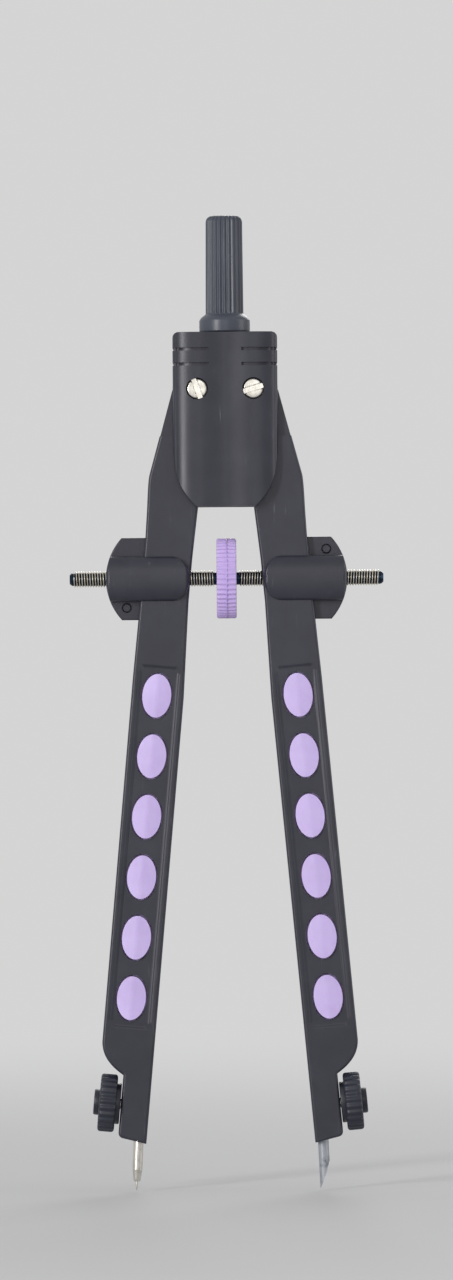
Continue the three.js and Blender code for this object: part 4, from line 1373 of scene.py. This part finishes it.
    def sleeve(self, side: Side) -> Piece:
        """Models a pivot sleeve, whose slotted head shows at the rear."""
        at = self.places
        seat, face, radius = at.screw_seat, at.screw_face, self.sleeve_head
        bore = 0.88
        profile = [
            (bore, 0.1 - seat),
            (1.5, 0.1 - seat),
            (1.5, seat),
            (radius - 0.12, seat),
            (radius, seat + 0.12),
            *curve([(radius, face - 0.3), (radius - 0.05, face - 0.08), (radius - 0.35, face - 0.04)], 5),
            (0, face),
            (0, seat - 0.2),
            (bore, seat - 0.2),
            (bore, 0.1 - seat),
        ]
        piece = turned(f"pivot_sleeve_head_{side.tag}", profile)
        combine(piece, Cut.AWAY, brick("slot", (-3, -0.6, face - 0.45), (3, 0.6, face + 1)))
        return put(
            piece,
            Matrix.Translation((side.value * at.pivot_half, 0, at.pivot_height))
            @ Matrix.Rotation(-math.pi / 2, 4, "X"),
        )

    def build(self) -> list[Piece]:
        """Models the shells, the screws and the sleeves.

        Returns:
            The finished pieces.
        """
        front = self.shell("head_front", self.screw_radius + 0.12)
        rear = self.shell("head_rear", self.sleeve_head + 0.1)
        put(rear, Matrix.Rotation(math.pi, 4, "Z"))
        made = [
            hand_over(front, "head", Slot.BLACK_BODY, ["head_front_shell"]),
            hand_over(rear, "head", Slot.BLACK_BODY, ["head_rear_shell"]),
        ]
        for side in Side:
            screw = self.screw(side)
            sleeve = self.sleeve(side)
            made += [
                hand_over(screw, "head", Slot.BRIGHT_STEEL, [f"pivot_screw_{side.tag}"]),
                hand_over(sleeve, "head", Slot.BRIGHT_STEEL, [f"pivot_sleeve_{side.tag}"]),
            ]
        return made


# ---------------------------------------------------------------- legs
@dataclass
class Leg:
    """One leg with its recessed oval panel, its inlay, clamp knob and insert.

    Drops are measured from the pivot down the leg; x runs outwards from its middle line.
    """

    places: Places
    release: Release = Release()
    axis_offset: float = 2.72
    outer: float = 4.75
    inner: float = 5.05
    waist_inner: float = 4.45
    edge: float = 0.5
    step_drop: float = 8.8
    spindle_drop: float = 35.85
    panel_top: float = 52.0
    panel_length: float = 68.4
    panel_depth: float = 0.4
    panel_step: float = 0.72
    wall: float = 0.42
    oval_pitch: float = 11.35
    oval_width: float = 5.4
    oval_length: float = 8.15
    oval_gap: float = 0.3
    ovals: int = 6
    crown: float = 0.55
    inlay_width: float = 6.9
    shoulder: float = 123.2
    neck_top: float = 129.1
    neck_outer: float = 0.3
    neck_bottom: float = 140.76
    knob_drop: float = 134.65
    socket_drop: float = 141.71
    socket_offset: float = 3.56
    insert_lean: float = 2.63
    socket_radius: float = 1.12
    pocket: Flat = (1.77, 1.5)  # half its width and half its height
    bolt_hole: float = 1.08
    channel_gap: float = 0.25
    proud: float = 0.3  # the ovals over the panel's floor
    face_wall: float = 1.3  # between the panel's floor and the inlay's channel

    def outline(self) -> list[Flat]:
        """The leg's outline below the head's step, anticlockwise from its inner top corner."""
        z = -self.spindle_drop
        return [
            (-self.inner - 0.05, -7.0),
            (-4.75, -22.0),
            (-self.waist_inner, z + 4),
            (-self.waist_inner, z - 4),
            (-self.inner, z - 22),
            (-self.inner, -self.neck_bottom - 0.82),
            *curve(
                [
                    (self.neck_outer - 0.9, -self.neck_bottom - 0.12),
                    (self.neck_outer - 0.1, -self.neck_bottom),
                    (self.neck_outer, 0.8 - self.neck_bottom),
                ],
                5,
            ),
            *curve(
                [
                    (self.neck_outer, -self.neck_top),
                    (self.neck_outer + 2.0, 1.2 - self.neck_top),
                    (self.outer - 0.25, -self.shoulder - 3.1),
                    (self.outer, -self.shoulder),
                ],
                14,
            ),
            (self.outer, z - 19),
            (self.release.waist, z - 6),
            (self.release.waist, z + 7.5),
            *curve([(self.outer, -22.8), (5.0, -17.8), (4.83, -16.8)], 6),
            (3.1, -7.0),
        ]

    def oval_centre(self, index: int) -> Flat:
        """The middle of an oval, counted from the top."""
        first = self.panel_top + 1.75 + self.oval_length / 2
        return (0.0, -first - index * self.oval_pitch)

    def oval_row(self, grow: float, front: float, back: float) -> Piece:
        """All the ovals as one set of elliptical plates.

        Args:
            grow: how much wider than the inlay's ovals, all round.
            front: the lower Y.
            back: the higher Y.

        Returns:
            The plates as one object.
        """
        half_width = self.oval_width / 2 + grow
        half_length = self.oval_length / 2 + grow
        rows = [
            plate("oval", ellipse(self.oval_centre(i), half_width, half_length), front, back)
            for i in range(self.ovals)
        ]
        return merged("ovals", rows)

    def panel(self, inset: float, end_inset: float) -> list[Flat]:
        """The recessed panel's outline, inset at its sides and at its ends."""
        return rounded_rectangle(
            -self.inner + 0.72 + inset,
            end_inset - self.panel_top - self.panel_length,
            self.outer - 0.62 - inset,
            -self.panel_top - end_inset,
            1.3 - end_inset,
        )

    def strip(self, grow: float) -> list[Flat]:
        """The outline of the inlay's strip, grown all round."""
        half = self.inlay_width / 2 + grow
        low = 1.4 - self.panel_top - self.panel_length - grow
        return rounded_rectangle(-half, low, half, -self.panel_top - 1.4 + grow, 1.1)

    def spindle_room(self) -> list[Piece]:
        """The tools for what the spindle, its block and the flange need, about the trunnion."""
        fit = self.release
        tilt = fit.tilt(self.places)
        sine, cosine, tangent = math.sin(tilt), math.cos(tilt), math.tan(tilt)
        z = -self.spindle_drop
        reach, half = self.outer + 1, fit.block_half
        spring = self.places.spindle_radius + fit.coil_gap + fit.wire

        def flare(u: float) -> float:
            """Half the room that the tilted spindle needs this far along it."""
            return u * tangent + (spring + fit.coil_gap) / cosine + fit.seat

        middle = fit.block_high * cosine + half * sine + fit.seat
        level = spring + fit.tunnel_level
        tunnel = [
            (-reach, z + flare(reach)),
            (-reach, z - level),
            (-half, z - middle),
            (half, z - middle),
            (half, z - flare(half)),
            (reach, z - flare(reach)),
            (reach, z + level),
            (half, z + middle),
            (-half, z + middle),
            (-half, z + flare(half)),
        ]
        high, wide = fit.flange_high, fit.flange_half + fit.gap
        floor = (fit.flange_start - fit.travel) * cosine - high * sine - fit.gap
        below = math.sqrt(fit.flange_radius**2 - high**2) * sine + high * cosine + 2 * fit.gap
        above = high + 2 * fit.gap
        through = self.places.leg_half + 1
        return [
            plate("tunnel", tunnel, -fit.tunnel_half, fit.tunnel_half),
            brick("flange_slot", (floor, -wide, z - below), (reach, wide, z + above)),
            cylinder("trunnion_bore", "y", (0, z), fit.trunnion_bore, -through, through),
        ]

    def insert_offset(self, drop: float) -> float:
        """Where the insert's middle line is across the leg, at a drop below the pivot."""
        lean = math.tan(math.radians(self.insert_lean))
        return -self.socket_offset - (drop - self.socket_drop) * lean

    def insert_frame(self) -> Matrix:
        """The insert's frame in the leg's: its origin at the socket's mouth, Z up along it."""
        return Matrix.Translation((-self.socket_offset, 0, -self.socket_drop)) @ Matrix.Rotation(
            math.radians(self.insert_lean), 4, "Y"
        )

    def neck_room(self) -> list[Piece]:
        """The tools for the insert's socket, the eye bolt's pocket and its hole."""
        socket = cylinder("socket", "z", (0, 0), self.socket_radius, -3, 20, 48)
        put(socket, self.insert_frame())
        eye = self.insert_offset(self.knob_drop)
        z = -self.knob_drop
        wide, high = self.pocket
        return [
            socket,
            brick("pocket", (-self.inner - 1, -wide, z - high), (eye + wide, wide, z + high)),
            cylinder("bolt_hole", "x", (0, z), self.bolt_hole, eye, self.outer, 40),
        ]

    def arm(self, name: str) -> Piece:
        """Models the leg below the head's step, in the leg's own frame."""
        half = self.places.leg_half
        body = cushion(name, self.outline(), -half, half, self.edge)
        floor, step = half - self.panel_depth, self.panel_depth / 2
        strip_front = self.face_wall - floor
        rim, field_of_ovals = self.panel(0.0, 0.0), self.panel(self.panel_step, 0.3)
        combine(
            body,
            Cut.AWAY,
            tapered("panel_rim", rim, -half - 0.01, step - half, self.wall),
            tapered("panel", field_of_ovals, step - half - 0.01, -floor, self.wall),
            plate("channel", self.strip(self.channel_gap), strip_front, half + 1),
            self.oval_row(self.oval_gap, -half - 1, strip_front + 0.5),
            *self.spindle_room(),
            *self.neck_room(),
        )
        return body

    def inlay(self, name: str) -> Piece:
        """Models the lilac strip and its six crowned ovals, in the leg's own frame."""
        half = self.places.leg_half
        top = self.panel_depth - half - self.proud
        front = self.panel_depth - half + self.face_wall + self.release.seat
        reach = self.oval_width / 2 + 0.2
        crown = [
            (-reach, top),
            (-reach * 0.55, top - self.crown * 0.52),
            (-reach * 0.12, top - self.crown * 0.94),
            (0.0, top - self.crown),
            (reach * 0.12, top - self.crown * 0.94),
            (reach * 0.55, top - self.crown * 0.52),
            (reach, top),
        ]
        low = self.oval_centre(self.ovals - 1)[1] - self.oval_length
        roof = [(x, y, low) for x, y in [(reach, front + 0.4), (-reach, front + 0.4), *crown]]
        buttons = beam(name, roof, (0, 0, self.oval_centre(0)[1] + self.oval_length - low))
        combine(buttons, Cut.COMMON, self.oval_row(0.0, -half - 2, half))
        ease(buttons, 0.22, 40)
        strip = plate("strip", self.strip(0.0), front, half - self.channel_gap)
        return combine(buttons, Cut.JOIN, strip)

    def knob(self, name: str) -> Piece:
        """Models the clamp knob: a ribbed wheel between a collar and a hub."""
        start, radius = self.neck_outer + 0.15, 5.43
        rim, end = start + 0.8, start + 0.8 + 3.13
        stations = [
            (rim, 0.90),
            (rim + 0.06, 0.945),
            (rim + 0.2, 0.98),
            (rim + 0.45, 1.0),
            (end - 0.45, 1.0),
            (end - 0.2, 0.98),
            (end - 0.06, 0.945),
            (end, 0.90),
        ]
        wheel = ribbed(name, radius, 0.26, 26, stations, 8)
        collar = turned(
            "collar",
            [
                (0, start),
                (3.65, start),
                (3.8, start + 0.06),
                (3.85, start + 0.2),
                (3.85, rim + 0.5),
                (0, rim + 0.5),
            ],
        )
        hub = turned(
            "hub",
            [
                (0, end - 0.5),
                (2.42, end - 0.5),
                (2.42, end + 0.72),
                (2.34, end + 0.92),
                (2.15, end + 1.02),
                (0, end + 1.02),
            ],
        )
        dish = turned(
            "dish",
            [
                (2.9, end + 1),
                (2.9, end - 0.22),
                (4.1, end - 0.22),
                (4.35, end + 0.02),
                (4.4, end + 1),
                (2.9, end + 1),
            ],
        )
        bore = cylinder("bore", "z", (0, 0), self.bolt_hole, start - 1, end + 0.32, 40)
        combine(wheel, Cut.JOIN, collar)
        combine(wheel, Cut.AWAY, dish)
        combine(wheel, Cut.JOIN, hub)
        combine(wheel, Cut.AWAY, bore)
        return put(
            wheel,
            Matrix.Translation((0, 0, -self.knob_drop)) @ Matrix.Rotation(math.pi / 2, 4, "Y"),
        )

    def needle(self) -> Piece:
        """Models the shouldered needle, in the insert's frame."""
        tip, body, shoulder = -8.91, 0.94, 0.62
        profile = [
            (0, tip),
            (0.05, tip + 0.12),
            (0.2, tip + 0.75),
            (0.2, tip + 1.7),
            (0.24, tip + 1.75),
            (shoulder - 0.06, tip + 1.75),
            (shoulder, tip + 1.83),
            *curve([(shoulder, tip + 1.83), (body - 0.08, tip + 3.5), (body, tip + 4.0)], 8)[1:],
            (body, 18.6),
            (body - 0.15, 18.8),
            (0, 18.8),
        ]
        return turned("needle_point", profile, 48)

    def lead(self) -> Piece:
        """Models the lead with its sanded slanting face, in the insert's frame."""
        tip, radius, bevel = 0.35 - 8.91, 1.0, 5.05
        rod = cylinder("lead_point", "z", (0, 0), radius, tip, 18.8, 56)
        hollow = [
            (radius, tip + bevel),
            (radius * 0.1, tip + bevel * 0.42),
            (-radius * 0.9, tip),
        ]
        corners = [
            (-radius, tip - 1),
            (3 * radius, tip - 1),
            (3 * radius, tip + 2 * bevel),
            *curve(hollow, 8),
        ]
        slant = plate("slant", corners, -2, 2)
        return combine(rod, Cut.AWAY, slant)

    def build(self) -> list[Piece]:
        """Models both legs with all that they carry.

        Returns:
            The finished pieces.
        """
        arm, inlay, knob = self.arm("arm"), self.inlay("inlay"), self.knob("knob")
        step = self.places.pivot_height - self.step_drop
        made = []
        for side in Side:
            tag, body = side.tag, f"leg_{side.tag}"
            frame_of_leg = self.places.leg(side, self.axis_offset)
            side_arm = put(duplicate(arm, f"leg_arm_{tag}"), frame_of_leg)
            trim(side_arm, step, keep_above=False)
            tongue = trim(carried_over(f"leg_{tag}", f"leg_gear_{tag}"), step, keep_above=True)
            side_inlay = put(duplicate(inlay, f"oval_inlay_{tag}"), frame_of_leg)
            side_knob = put(duplicate(knob, f"clamp_wheel_{tag}"), frame_of_leg)
            insert = self.needle() if side is Side.LEFT else self.lead()
            put(insert, frame_of_leg @ self.insert_frame())
            made += [
                hand_over(side_arm, body, Slot.BLACK_BODY, [f"leg_{tag}"]),
                hand_over(tongue, body, Slot.BLACK_BODY, [], 12),
                hand_over(side_inlay, body, Slot.LILAC_INLAY, [f"grip_inlay_{tag}"]),
                hand_over(side_knob, f"knob_{tag}", Slot.KNOB_PLASTIC, [f"clamp_knob_{tag}"]),
            ]
            if side is Side.LEFT:
                made.append(hand_over(insert, "needle", Slot.BRIGHT_STEEL, ["needle"]))
            else:
                made.append(hand_over(insert, "lead", Slot.GRAPHITE, ["lead"]))
        for model in (arm, inlay, knob):
            bpy.data.objects.remove(model)
        return made


# ---------------------------------------------------------------- spindle
@dataclass
class Spindle:
    """The rod with its two opposite threads, and the ribbed wheel in the middle."""

    places: Places
    pitch: float = 0.5
    thread_depth: float = 0.28
    wheel_radius: float = 7.55
    wheel_width: float = 3.7
    wheel_ribs: int = 48
    rib_depth: float = 0.3
    round_steps: int = 28

    def thread(self, side: Side) -> Piece:
        """Models one thread as a closed helical ridge with a hollow core.

        Args:
            side: right-hand on the left, left-hand on the right.

        Returns:
            The thread, along Z from the wheel outwards.
        """
        start = self.wheel_width / 2 + 0.1
        turns = int((self.places.spindle_half - start - 0.1) / self.pitch)
        crest = self.places.spindle_radius
        root = crest - self.thread_depth
        profile = [
            (root, 0.0, start),
            (root, 0.0, start + 0.06),
            (crest, 0.0, start + 0.22),
            (crest, 0.0, start + 0.3),
            (root, 0.0, start + 0.46),
            (root, 0.0, start + self.pitch),
        ]
        ridge = sketch(f"thread_{side.tag}", profile, closed=False)
        screw = ridge.modifiers.new("thread", "SCREW")
        screw.axis = "Z"
        screw.screw_offset = self.pitch
        screw.iterations = turns
        screw.steps = self.round_steps
        screw.render_steps = self.round_steps
        screw.use_merge_vertices = True
        screw.merge_threshold = 1e-4
        activate(ridge)
        bpy.ops.object.modifier_apply(modifier=screw.name)
        end = start + turns * self.pitch
        with Bench(ridge) as bench:
            bench.tidy()
            for height, keep_inner in ((start + self.pitch, False), (end, True)):
                bpy.ops.mesh.select_all(action="SELECT")
                bpy.ops.mesh.bisect(
                    plane_co=(0, 0, height),
                    plane_no=(0, 0, 1),
                    use_fill=True,
                    clear_inner=not keep_inner,
                    clear_outer=keep_inner,
                )
            bench.pick(Kind.VERT, lambda corner: corner.z > end - 0.3)
            bpy.ops.transform.resize(value=(0.82, 0.82, 1), center_override=(0, 0, end))
            bench.tidy()
        across = Matrix.Rotation(side.value * math.pi / 2, 4, "Y")
        mirror = Matrix.Diagonal((1, -1, 1, 1)) if side is Side.RIGHT else Matrix.Identity(4)
        lift = Matrix.Translation((0, 0, self.places.spindle_height))
        return put(ridge, lift @ across @ mirror)

    def core(self) -> Piece:
        """Models the rod under the threads, with a chamfered point at each end."""
        half = self.places.spindle_half
        root = self.places.spindle_radius - self.thread_depth - 0.02
        profile = [
            (0, -half),
            (root - 0.35, -half),
            (root, 0.4 - half),
            (root, half - 0.4),
            (root - 0.35, half),
            (0, half),
        ]
        rod = turned("spindle_core", profile, 40)
        return put(
            rod,
            Matrix.Translation((0, 0, self.places.spindle_height))
            @ Matrix.Rotation(math.pi / 2, 4, "Y"),
        )

    def wheel(self) -> Piece:
        """Models the wheel: two ribbed bands beside a fine ridge, with dished faces."""
        half = self.wheel_width / 2
        stations = [(-half, 0.96), (0.10 - half, 0.985), (0.3 - half, 1.0)]
        stations += [(-height, share) for height, share in reversed(stations)]
        band_radius = self.wheel_radius - 0.06
        wheel = ribbed("setting_wheel", band_radius, self.rib_depth, self.wheel_ribs, stations, 6)
        ridge = turned(
            "ridge",
            [
                (6.5, -0.09),
                (self.wheel_radius - 0.05, -0.09),
                (self.wheel_radius, -0.03),
                (self.wheel_radius, 0.03),
                (self.wheel_radius - 0.05, 0.09),
                (6.5, 0.09),
                (6.5, -0.09),
            ],
            100,
        )
        combine(wheel, Cut.JOIN, ridge)
        for sign in (-1, 1):
            face = sign * half
            dish = turned(
                "dish",
                [
                    (2.9, face + sign),
                    (2.9, face - sign * 0.4),
                    (6.0, face - sign * 0.4),
                    (6.4, face),
                    (6.4, face + sign),
                    (2.9, face + sign),
                ],
            )
            combine(wheel, Cut.AWAY, dish)
        bore = cylinder("bore", "z", (0, 0), self.places.spindle_radius + 0.05, -3, 3)
        combine(wheel, Cut.AWAY, bore)
        return put(
            wheel,
            Matrix.Translation((0, 0, self.places.spindle_height))
            @ Matrix.Rotation(math.pi / 2, 4, "Y"),
        )

    def build(self) -> list[Piece]:
        """Models the rod, the threads and the wheel.

        Returns:
            The finished pieces.
        """
        made = [
            hand_over(self.core(), "spindle", Slot.SPINDLE_STEEL, ["spindle_rod"]),
            hand_over(self.wheel(), "wheel", Slot.LILAC_WHEEL, ["centre_wheel"], 50),
        ]
        for side in Side:
            made.append(hand_over(self.thread(side), "wheel", Slot.SPINDLE_STEEL, [], 50))
        return made


# ---------------------------------------------------------------- release housings
@dataclass
class Housing:
    """A press-to-release housing round the leg: two moulded halves, and the spring inside.

    X runs outwards along the spindle from the trunnion.
    """

    places: Places
    release: Release = Release()
    high: float = 4.2
    arm: float = 1.55
    inner_end: float = 4.25
    corner: float = 3.7
    soft: float = 0.9
    leg_gap: float = 0.15
    spring_room: float = 1.92
    spindle_bore: float = 1.66
    trunnion_reach: float = 0.75
    pin_radius: float = 0.76
    pin_gap: float = 0.2
    pin_inset: float = 2.16
    pin_height: float = 5.4
    seam: float = 0.05
    spring_turns: int = 5
    coil_steps: int = 26
    spring_length: float = 4.2

    def half_shell(self, name: str) -> Piece:
        """Models the front half.

        Args:
            name: the piece's name.

        Returns:
            The half in the housing's frame.
        """
        fit = self.release
        tilt = fit.tilt(self.places)
        slot_face = self.places.leg_half + self.leg_gap
        front = slot_face + self.arm
        reach = fit.flange_radius + 1
        inner = self.corner - self.inner_end
        lean = math.degrees(math.asin(self.high / fit.flange_radius))
        side = [
            (inner, -self.high),
            *arc((0, 0), fit.flange_radius - 0.06, -lean, lean, 16),
            *arc((inner, self.high - self.corner), self.corner, 90, 180, 10),
            *arc((inner, self.corner - self.high), self.corner, 180, 270, 10)[:-1],
        ]
        high = self.high
        dome = curve([(high, front - 1.9), (high, front - 0.5), (high - 1.5, front), (0, front)], 14)
        section = [
            (-reach, 1, self.high),
            *((-reach, -y, z) for z, y in dome),
            *((-reach, -y, -z) for z, y in reversed(dome[:-1])),
            (-reach, 1, -self.high),
        ]
        body = beam(name, section, (2 * reach, 0, 0))
        combine(body, Cut.COMMON, cushion("side", side, -front - 0.02, 2, self.soft, False))
        nose = fit.nose(self.places)
        base = (fit.waist + self.high * math.sin(tilt)) / math.cos(tilt) + fit.travel + self.leg_gap
        leg_room = [
            (-reach, -reach),
            (base, -reach),
            (base, -self.high),
            (nose, 0),
            (base, self.high),
            (base, reach),
            (-reach, reach),
        ]
        combine(body, Cut.AWAY, plate("leg_room", leg_room, -slot_face, 3))
        rim = math.degrees(math.asin(fit.flange_high / fit.flange_radius))
        flange = plate(
            "flange",
            [
                (fit.flange_start, -fit.flange_high),
                *arc((0, 0), fit.flange_radius, -rim, rim, 28),
                (fit.flange_start, fit.flange_high),
            ],
            -fit.flange_half,
            0.5,
        )
        with Bench(flange) as bench:
            bench.pick(Kind.EDGE, lambda corner: corner.y < 0.01 - fit.flange_half)
            bpy.ops.mesh.bevel(offset=0.25, segments=3, clamp_overlap=True)
            bench.tidy()
        combine(body, Cut.JOIN, flange)
        pin_x = math.sqrt((fit.flange_radius - self.pin_inset) ** 2 - self.pin_height**2)
        floor = self.places.leg_half + self.trunnion_reach
        bore, travel = fit.trunnion_bore, fit.travel
        hole = self.pin_radius + self.pin_gap
        combine(
            body,
            Cut.AWAY,
            brick("seam", (-2 * reach, -self.seam, -2 * reach), (2 * reach, 4, 2 * reach)),
            cylinder("trunnion", "y", (0, 0), bore, -floor, 0.5, 48),
            cylinder("trunnion_end", "y", (travel, 0), bore, -floor, 0.5, 48),
            brick("trunnion_slot", (0, -floor, -bore), (travel, 0.5, bore)),
            cylinder("spring_room", "x", (0, 0), self.spring_room, 2, nose),
            cylinder("spindle_bore", "x", (0, 0), self.spindle_bore, 3, reach, 56),
            cylinder("pin_hole", "y", (pin_x, self.pin_height), hole, -3, 1, 40),
        )
        pin = turned(
            "pin",
            [
                (0, 0.5 - fit.flange_half),
                (self.pin_radius, 0.5 - fit.flange_half),
                (self.pin_radius, fit.flange_half - 0.12),
                (self.pin_radius - 0.12, fit.flange_half),
                (0, fit.flange_half),
            ],
            40,
        )
        turn = Matrix.Rotation(-math.pi / 2, 4, "X")
        put(pin, Matrix.Translation((pin_x, 0, -self.pin_height)) @ turn)
        return combine(body, Cut.JOIN, pin)

    def spring(self, name: str) -> Piece:
        """Models the coil between the block and the housing's nose."""
        fit = self.release
        half = fit.wire / 2
        start = fit.block_half + half + fit.seat
        end = fit.nose(self.places) - half - fit.seat
        radius = self.places.spindle_radius + fit.coil_gap + half
        wire = [
            (radius + half * math.cos(a), 0.0, start + half * math.sin(a))
            for a in (math.tau * i / 10 for i in range(10))
        ]
        coil = sketch(name, wire)
        with Bench(coil) as bench:
            bpy.ops.mesh.select_all(action="SELECT")
            steps = self.coil_steps * self.spring_turns
            for _ in range(steps):
                bpy.ops.mesh.extrude_region_move(
                    TRANSFORM_OT_translate={"value": (0, 0, (end - start) / steps)}
                )
                bpy.ops.transform.rotate(
                    value=math.tau * self.spring_turns / steps,
                    orient_axis="Z",
                    center_override=(0, 0, 0),
                )
            bench.tidy()
        return put(coil, Matrix.Rotation(math.pi / 2, 4, "Y"))

    def build(self) -> list[Piece]:
        """Models both housings and springs.

        Returns:
            The finished pieces.
        """
        shell, spring = self.half_shell("half"), self.spring("spring")
        made = []
        for side in Side:
            tag, place = side.tag, self.places.housing(side)
            front = put(duplicate(shell, f"housing_front_{tag}"), place)
            over = place @ Matrix.Rotation(math.pi, 4, "X")
            rear = put(duplicate(shell, f"housing_rear_{tag}"), over)
            coil = put(duplicate(spring, f"spring_coil_{tag}"), place)
            body = f"housing_{tag}"
            made += [
                hand_over(front, body, Slot.BLACK_BODY, [f"release_housing_front_{tag}"]),
                hand_over(rear, body, Slot.BLACK_BODY, [f"release_housing_rear_{tag}"]),
                hand_over(coil, f"block_{tag}", Slot.BRIGHT_STEEL, [f"release_spring_{tag}"], 60),
            ]
            1 - self.release.travel / self.spring_length
            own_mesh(coil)
        for model in (shell, spring):
            bpy.data.objects.remove(model)
        return made


# ---------------------------------------------------------------- what stays from the frame
@dataclass(frozen=True)
class Internals:
    """Frame nodes whose own shape shows, or that are hidden inside."""

    finishes: dict[str, Slot] = field(
        default_factory=lambda: {
            "handle_stud": Slot.BRIGHT_STEEL,
            **{f"clamp_bolt_{side.tag}": Slot.BRIGHT_STEEL for side in Side},
            **{f"swivel_block_{side.tag}": Slot.BRASS for side in Side},
            **{f"threaded_jaw_{side.tag}": Slot.BRIGHT_STEEL for side in Side},
            **{
                f"friction_washer_{where}_{side.tag}": Slot.NYLON
                for side in Side
                for where in ("front", "rear")
            },
        }
    )

    def dress(self) -> None:
        """Gives each of these nodes its finish."""
        for name, slot in self.finishes.items():
            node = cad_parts[name]
            if node.material_slots:
                node.material_slots[0].material = LOOKS[slot]
            else:
                node.data.materials.append(LOOKS[slot])
            LOG.info("%s keeps its frame mesh, finished as %s", name, slot.value)


# ---------------------------------------------------------------- setting
# Each lamp's place, its size and its watts.
LAMPS: dict[str, tuple[Point, Flat, float]] = {
    "key": ((-0.74, -0.95, 0.2), (0.18, 0.9), 12),
    "front": ((0.1, -1.5, 0.35), (0.5, 0.5), 1.5),
    "right_edge": ((0.9, -0.1, 0.25), (0.4, 0.6), 2),
    "back": ((0.2, 1.0, 0.6), (0.6, 0.6), 4),
}


@dataclass(frozen=True)
class Setting:
    """The pale floor, the soft lights and the camera."""

    paper: Colour = (0.50, 0.50, 0.505)
    sky: float = 0.66
    camera_height: float = 0.1031
    camera_distance: float = 1.3333
    camera_side: float = -0.0001
    lens: float = 200.0
    roll: float = 0.44

    def floor(self) -> None:
        """Lays the floor, which fades into the surroundings away from the compass."""
        clear_selection()
        bpy.ops.mesh.primitive_plane_add(size=30, location=(0, 0, -0.0002))
        ground = bpy.context.object
        ground.name = "floor"
        graph = Graph("pale_floor")
        mottled = graph.blend(graph.noise(12, 3) * 0.25, self.paper, (0.47, 0.47, 0.475))
        graph.tree.links.new(mottled, graph.shader.inputs["Base Color"])
        graph.coat(Roughness=0.8, Specular_IOR_Level=0.1)
        length = graph.node("ShaderNodeVectorMath", {"operation": "LENGTH"}, {0: graph.place})
        away = Value(graph, length.outputs["Value"]).ramp(0.10, 0.55)
        glow = graph.node("ShaderNodeEmission", None, {"Color": (1, 1, 1, 1), "Strength": self.sky})
        mix = graph.node(
            "ShaderNodeMixShader",
            None,
            {0: away, 1: graph.shader.outputs[0], 2: glow.outputs[0]},
        )
        output = graph.tree.nodes["Material Output"]
        graph.tree.links.new(mix.outputs[0], output.inputs["Surface"])
        ground.data.materials.append(graph.look)

    def surroundings(self) -> None:
        """Lights the scene evenly from all round."""
        world = bpy.data.worlds.new("studio")
        bpy.context.scene.world = world
        world.use_nodes = True
        background = world.node_tree.nodes["Background"]
        background.inputs["Color"].default_value = (1, 1, 1, 1)
        background.inputs["Strength"].default_value = self.sky
        bpy.context.scene.view_settings.view_transform = "Standard"

    def lamp(self, name: str, place: Point, size: Flat, watts: float) -> None:
        """Hangs one soft area light that points at the middle of the compass.

        Args:
            name: the light's name.
            place: where it hangs, in metres.
            size: its width and height, in metres.
            watts: its power.
        """
        light = bpy.data.lights.new(name, "AREA")
        light.shape = "RECTANGLE"
        light.size, light.size_y = size
        light.energy = watts
        lamp = bpy.data.objects.new(name, light)
        bpy.context.scene.collection.objects.link(lamp)
        lamp.location = place
        lamp.visible_camera = False
        aim = Vector((0, 0, self.camera_height)) - Vector(place)
        lamp.rotation_euler = aim.to_track_quat("-Z", "Y").to_euler()

    def camera(self) -> None:
        """Places the camera square in front of the compass, with a long lens."""
        data = bpy.data.cameras.new("camera")
        data.lens = self.lens
        data.sensor_width = 36
        data.clip_end = 100
        camera = bpy.data.objects.new("camera", data)
        bpy.context.scene.collection.objects.link(camera)
        camera.location = (self.camera_side, -self.camera_distance, self.camera_height)
        camera.rotation_euler = (math.pi / 2, math.radians(self.roll), 0)
        bpy.context.scene.camera = camera

    def build(self) -> None:
        """Makes the floor, the lights and the camera."""
        self.floor()
        self.surroundings()
        for name, (place, size, watts) in LAMPS.items():
            self.lamp(name, place, size, watts)
        self.camera()


def main() -> None:
    """Builds every sub-assembly in order."""
    logging.basicConfig(level=logging.INFO, format="%(name)s: %(message)s", force=True)
    places = Places.read(leg_tilt=5.23)
    Setting().build()
    Handle(places).build()
    Head(places).build()
    Leg(places).build()
    Spindle(places).build()
    Housing(places).build()
    Internals().dress()


if __name__ == "__main__":
    main()
